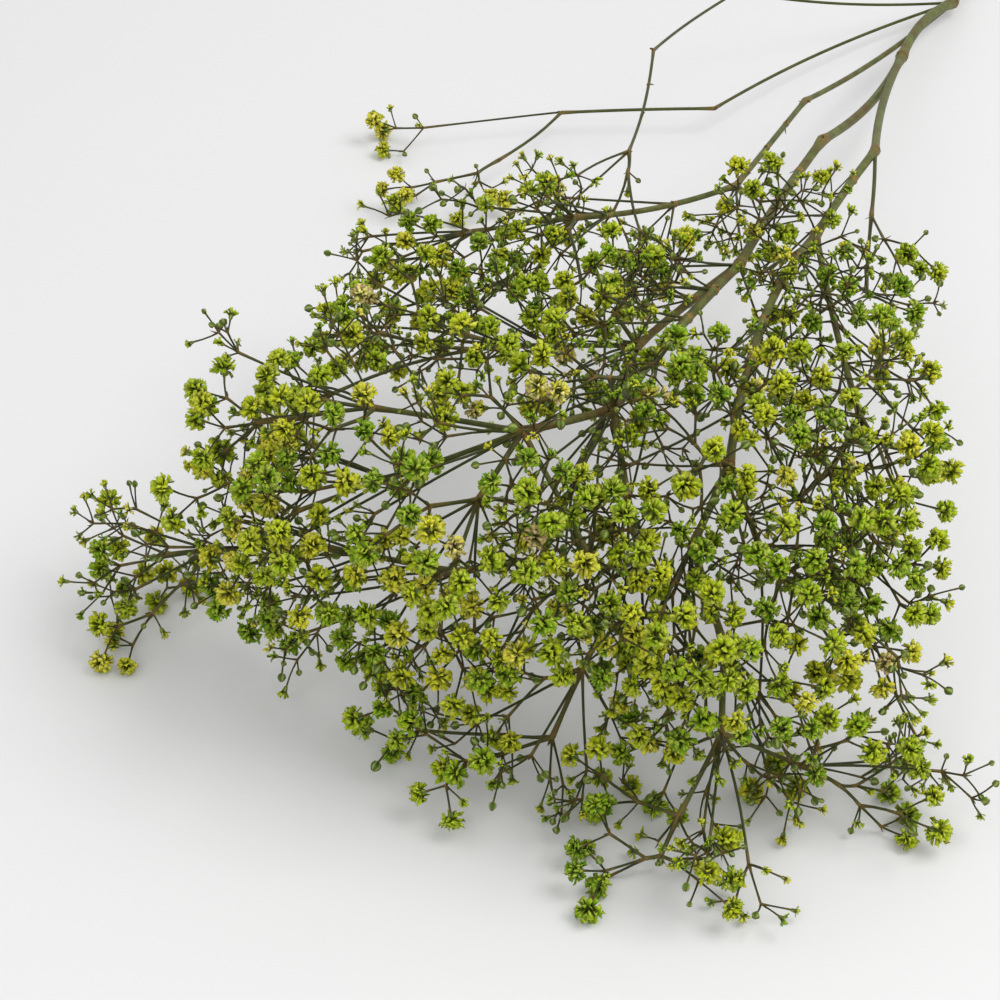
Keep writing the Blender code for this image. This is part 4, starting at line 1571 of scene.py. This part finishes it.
for holder in (KNOTS, BRACTS, CUT_FACES, CUPS, FLOWERS, LEAVES):
    for shape in list(holder.objects):
        bpy.data.objects.remove(shape)
    bpy.data.collections.remove(holder)

# THE SURFACE, THE LIGHT AND THE CAMERA
# The stem lies on a plain pale surface in soft, even light from above.
FLOOR_COLOUR = (0.715, 0.715, 0.72)
FLOOR_PALER = (0.735, 0.735, 0.74)
# How far it runs each way, in metres, so that its edge is far off in every view
FLOOR_REACH = 20
floor_mesh = bpy.data.meshes.new("floor")
floor_corners = [(x * FLOOR_REACH, y * FLOOR_REACH, 0) for x, y in ((-1, -1), (1, -1), (1, 1), (-1, 1))]
floor_mesh.from_pydata(floor_corners, [], [(0, 1, 2, 3)])
floor = bpy.data.objects.new("floor", floor_mesh)
bpy.context.scene.collection.objects.link(floor)
floor_material, floor_tree = new_material("pale surface", 0.7, 0.3)
floor_colour = blended(floor_tree, mottle(floor_tree, 3, 0, 1), FLOOR_COLOUR, FLOOR_PALER)
floor_mesh.materials.append(surfaced(floor_material, floor_colour))

ROOM_LIGHT = 0.76
world = bpy.data.worlds.new("soft room")
bpy.context.scene.world = world
world.use_nodes = True
background = world.node_tree.nodes["Background"]
background.inputs["Color"].default_value = (1.0, 1.0, 1.0, 1)
background.inputs["Strength"].default_value = ROOM_LIGHT
bpy.context.scene.view_settings.view_transform = "Standard"


def soft_lamp(name, at, towards, width, watts, colour):
    """A square lamp, its places and width in metres."""
    lamp = bpy.data.lights.new(name, "AREA")
    lamp.shape = "SQUARE"
    lamp.size = width
    lamp.energy = watts
    lamp.color = colour
    holder = bpy.data.objects.new(name, lamp)
    holder.location = at
    holder.rotation_euler = (Vector(towards) - Vector(at)).to_track_quat("-Z", "Y").to_euler()
    bpy.context.scene.collection.objects.link(holder)


soft_lamp("window", (0.75, -0.05, 1.2), (0, -0.05, 0), width=0.8, watts=10, colour=(1.0, 0.995, 0.98))
soft_lamp("fill", (0.1, -1.3, 0.9), (0, -0.1, 0), width=1.0, watts=5, colour=(0.98, 0.985, 1.0))

CAMERA_AROUND = math.radians(20)
CAMERA_UP = math.radians(38)
CAMERA_AWAY = 0.62
LENS = 90
FILM_WIDTH = 36
# The place on the plant that it looks at, in millimetres
LOOKED_AT = (0, 0, 50)
aim = to_frame(Vector(LOOKED_AT))
back = Vector(
    (
        math.sin(CAMERA_AROUND) * math.cos(CAMERA_UP),
        -math.cos(CAMERA_AROUND) * math.cos(CAMERA_UP),
        math.sin(CAMERA_UP),
    )
)
camera = bpy.data.objects.new("camera", bpy.data.cameras.new("camera"))
camera.data.lens = LENS
camera.data.sensor_width = FILM_WIDTH
camera.location = aim + back * CAMERA_AWAY
camera.rotation_euler = (-back).to_track_quat("-Z", "Y").to_euler()
bpy.context.scene.collection.objects.link(camera)
bpy.context.scene.camera = camera
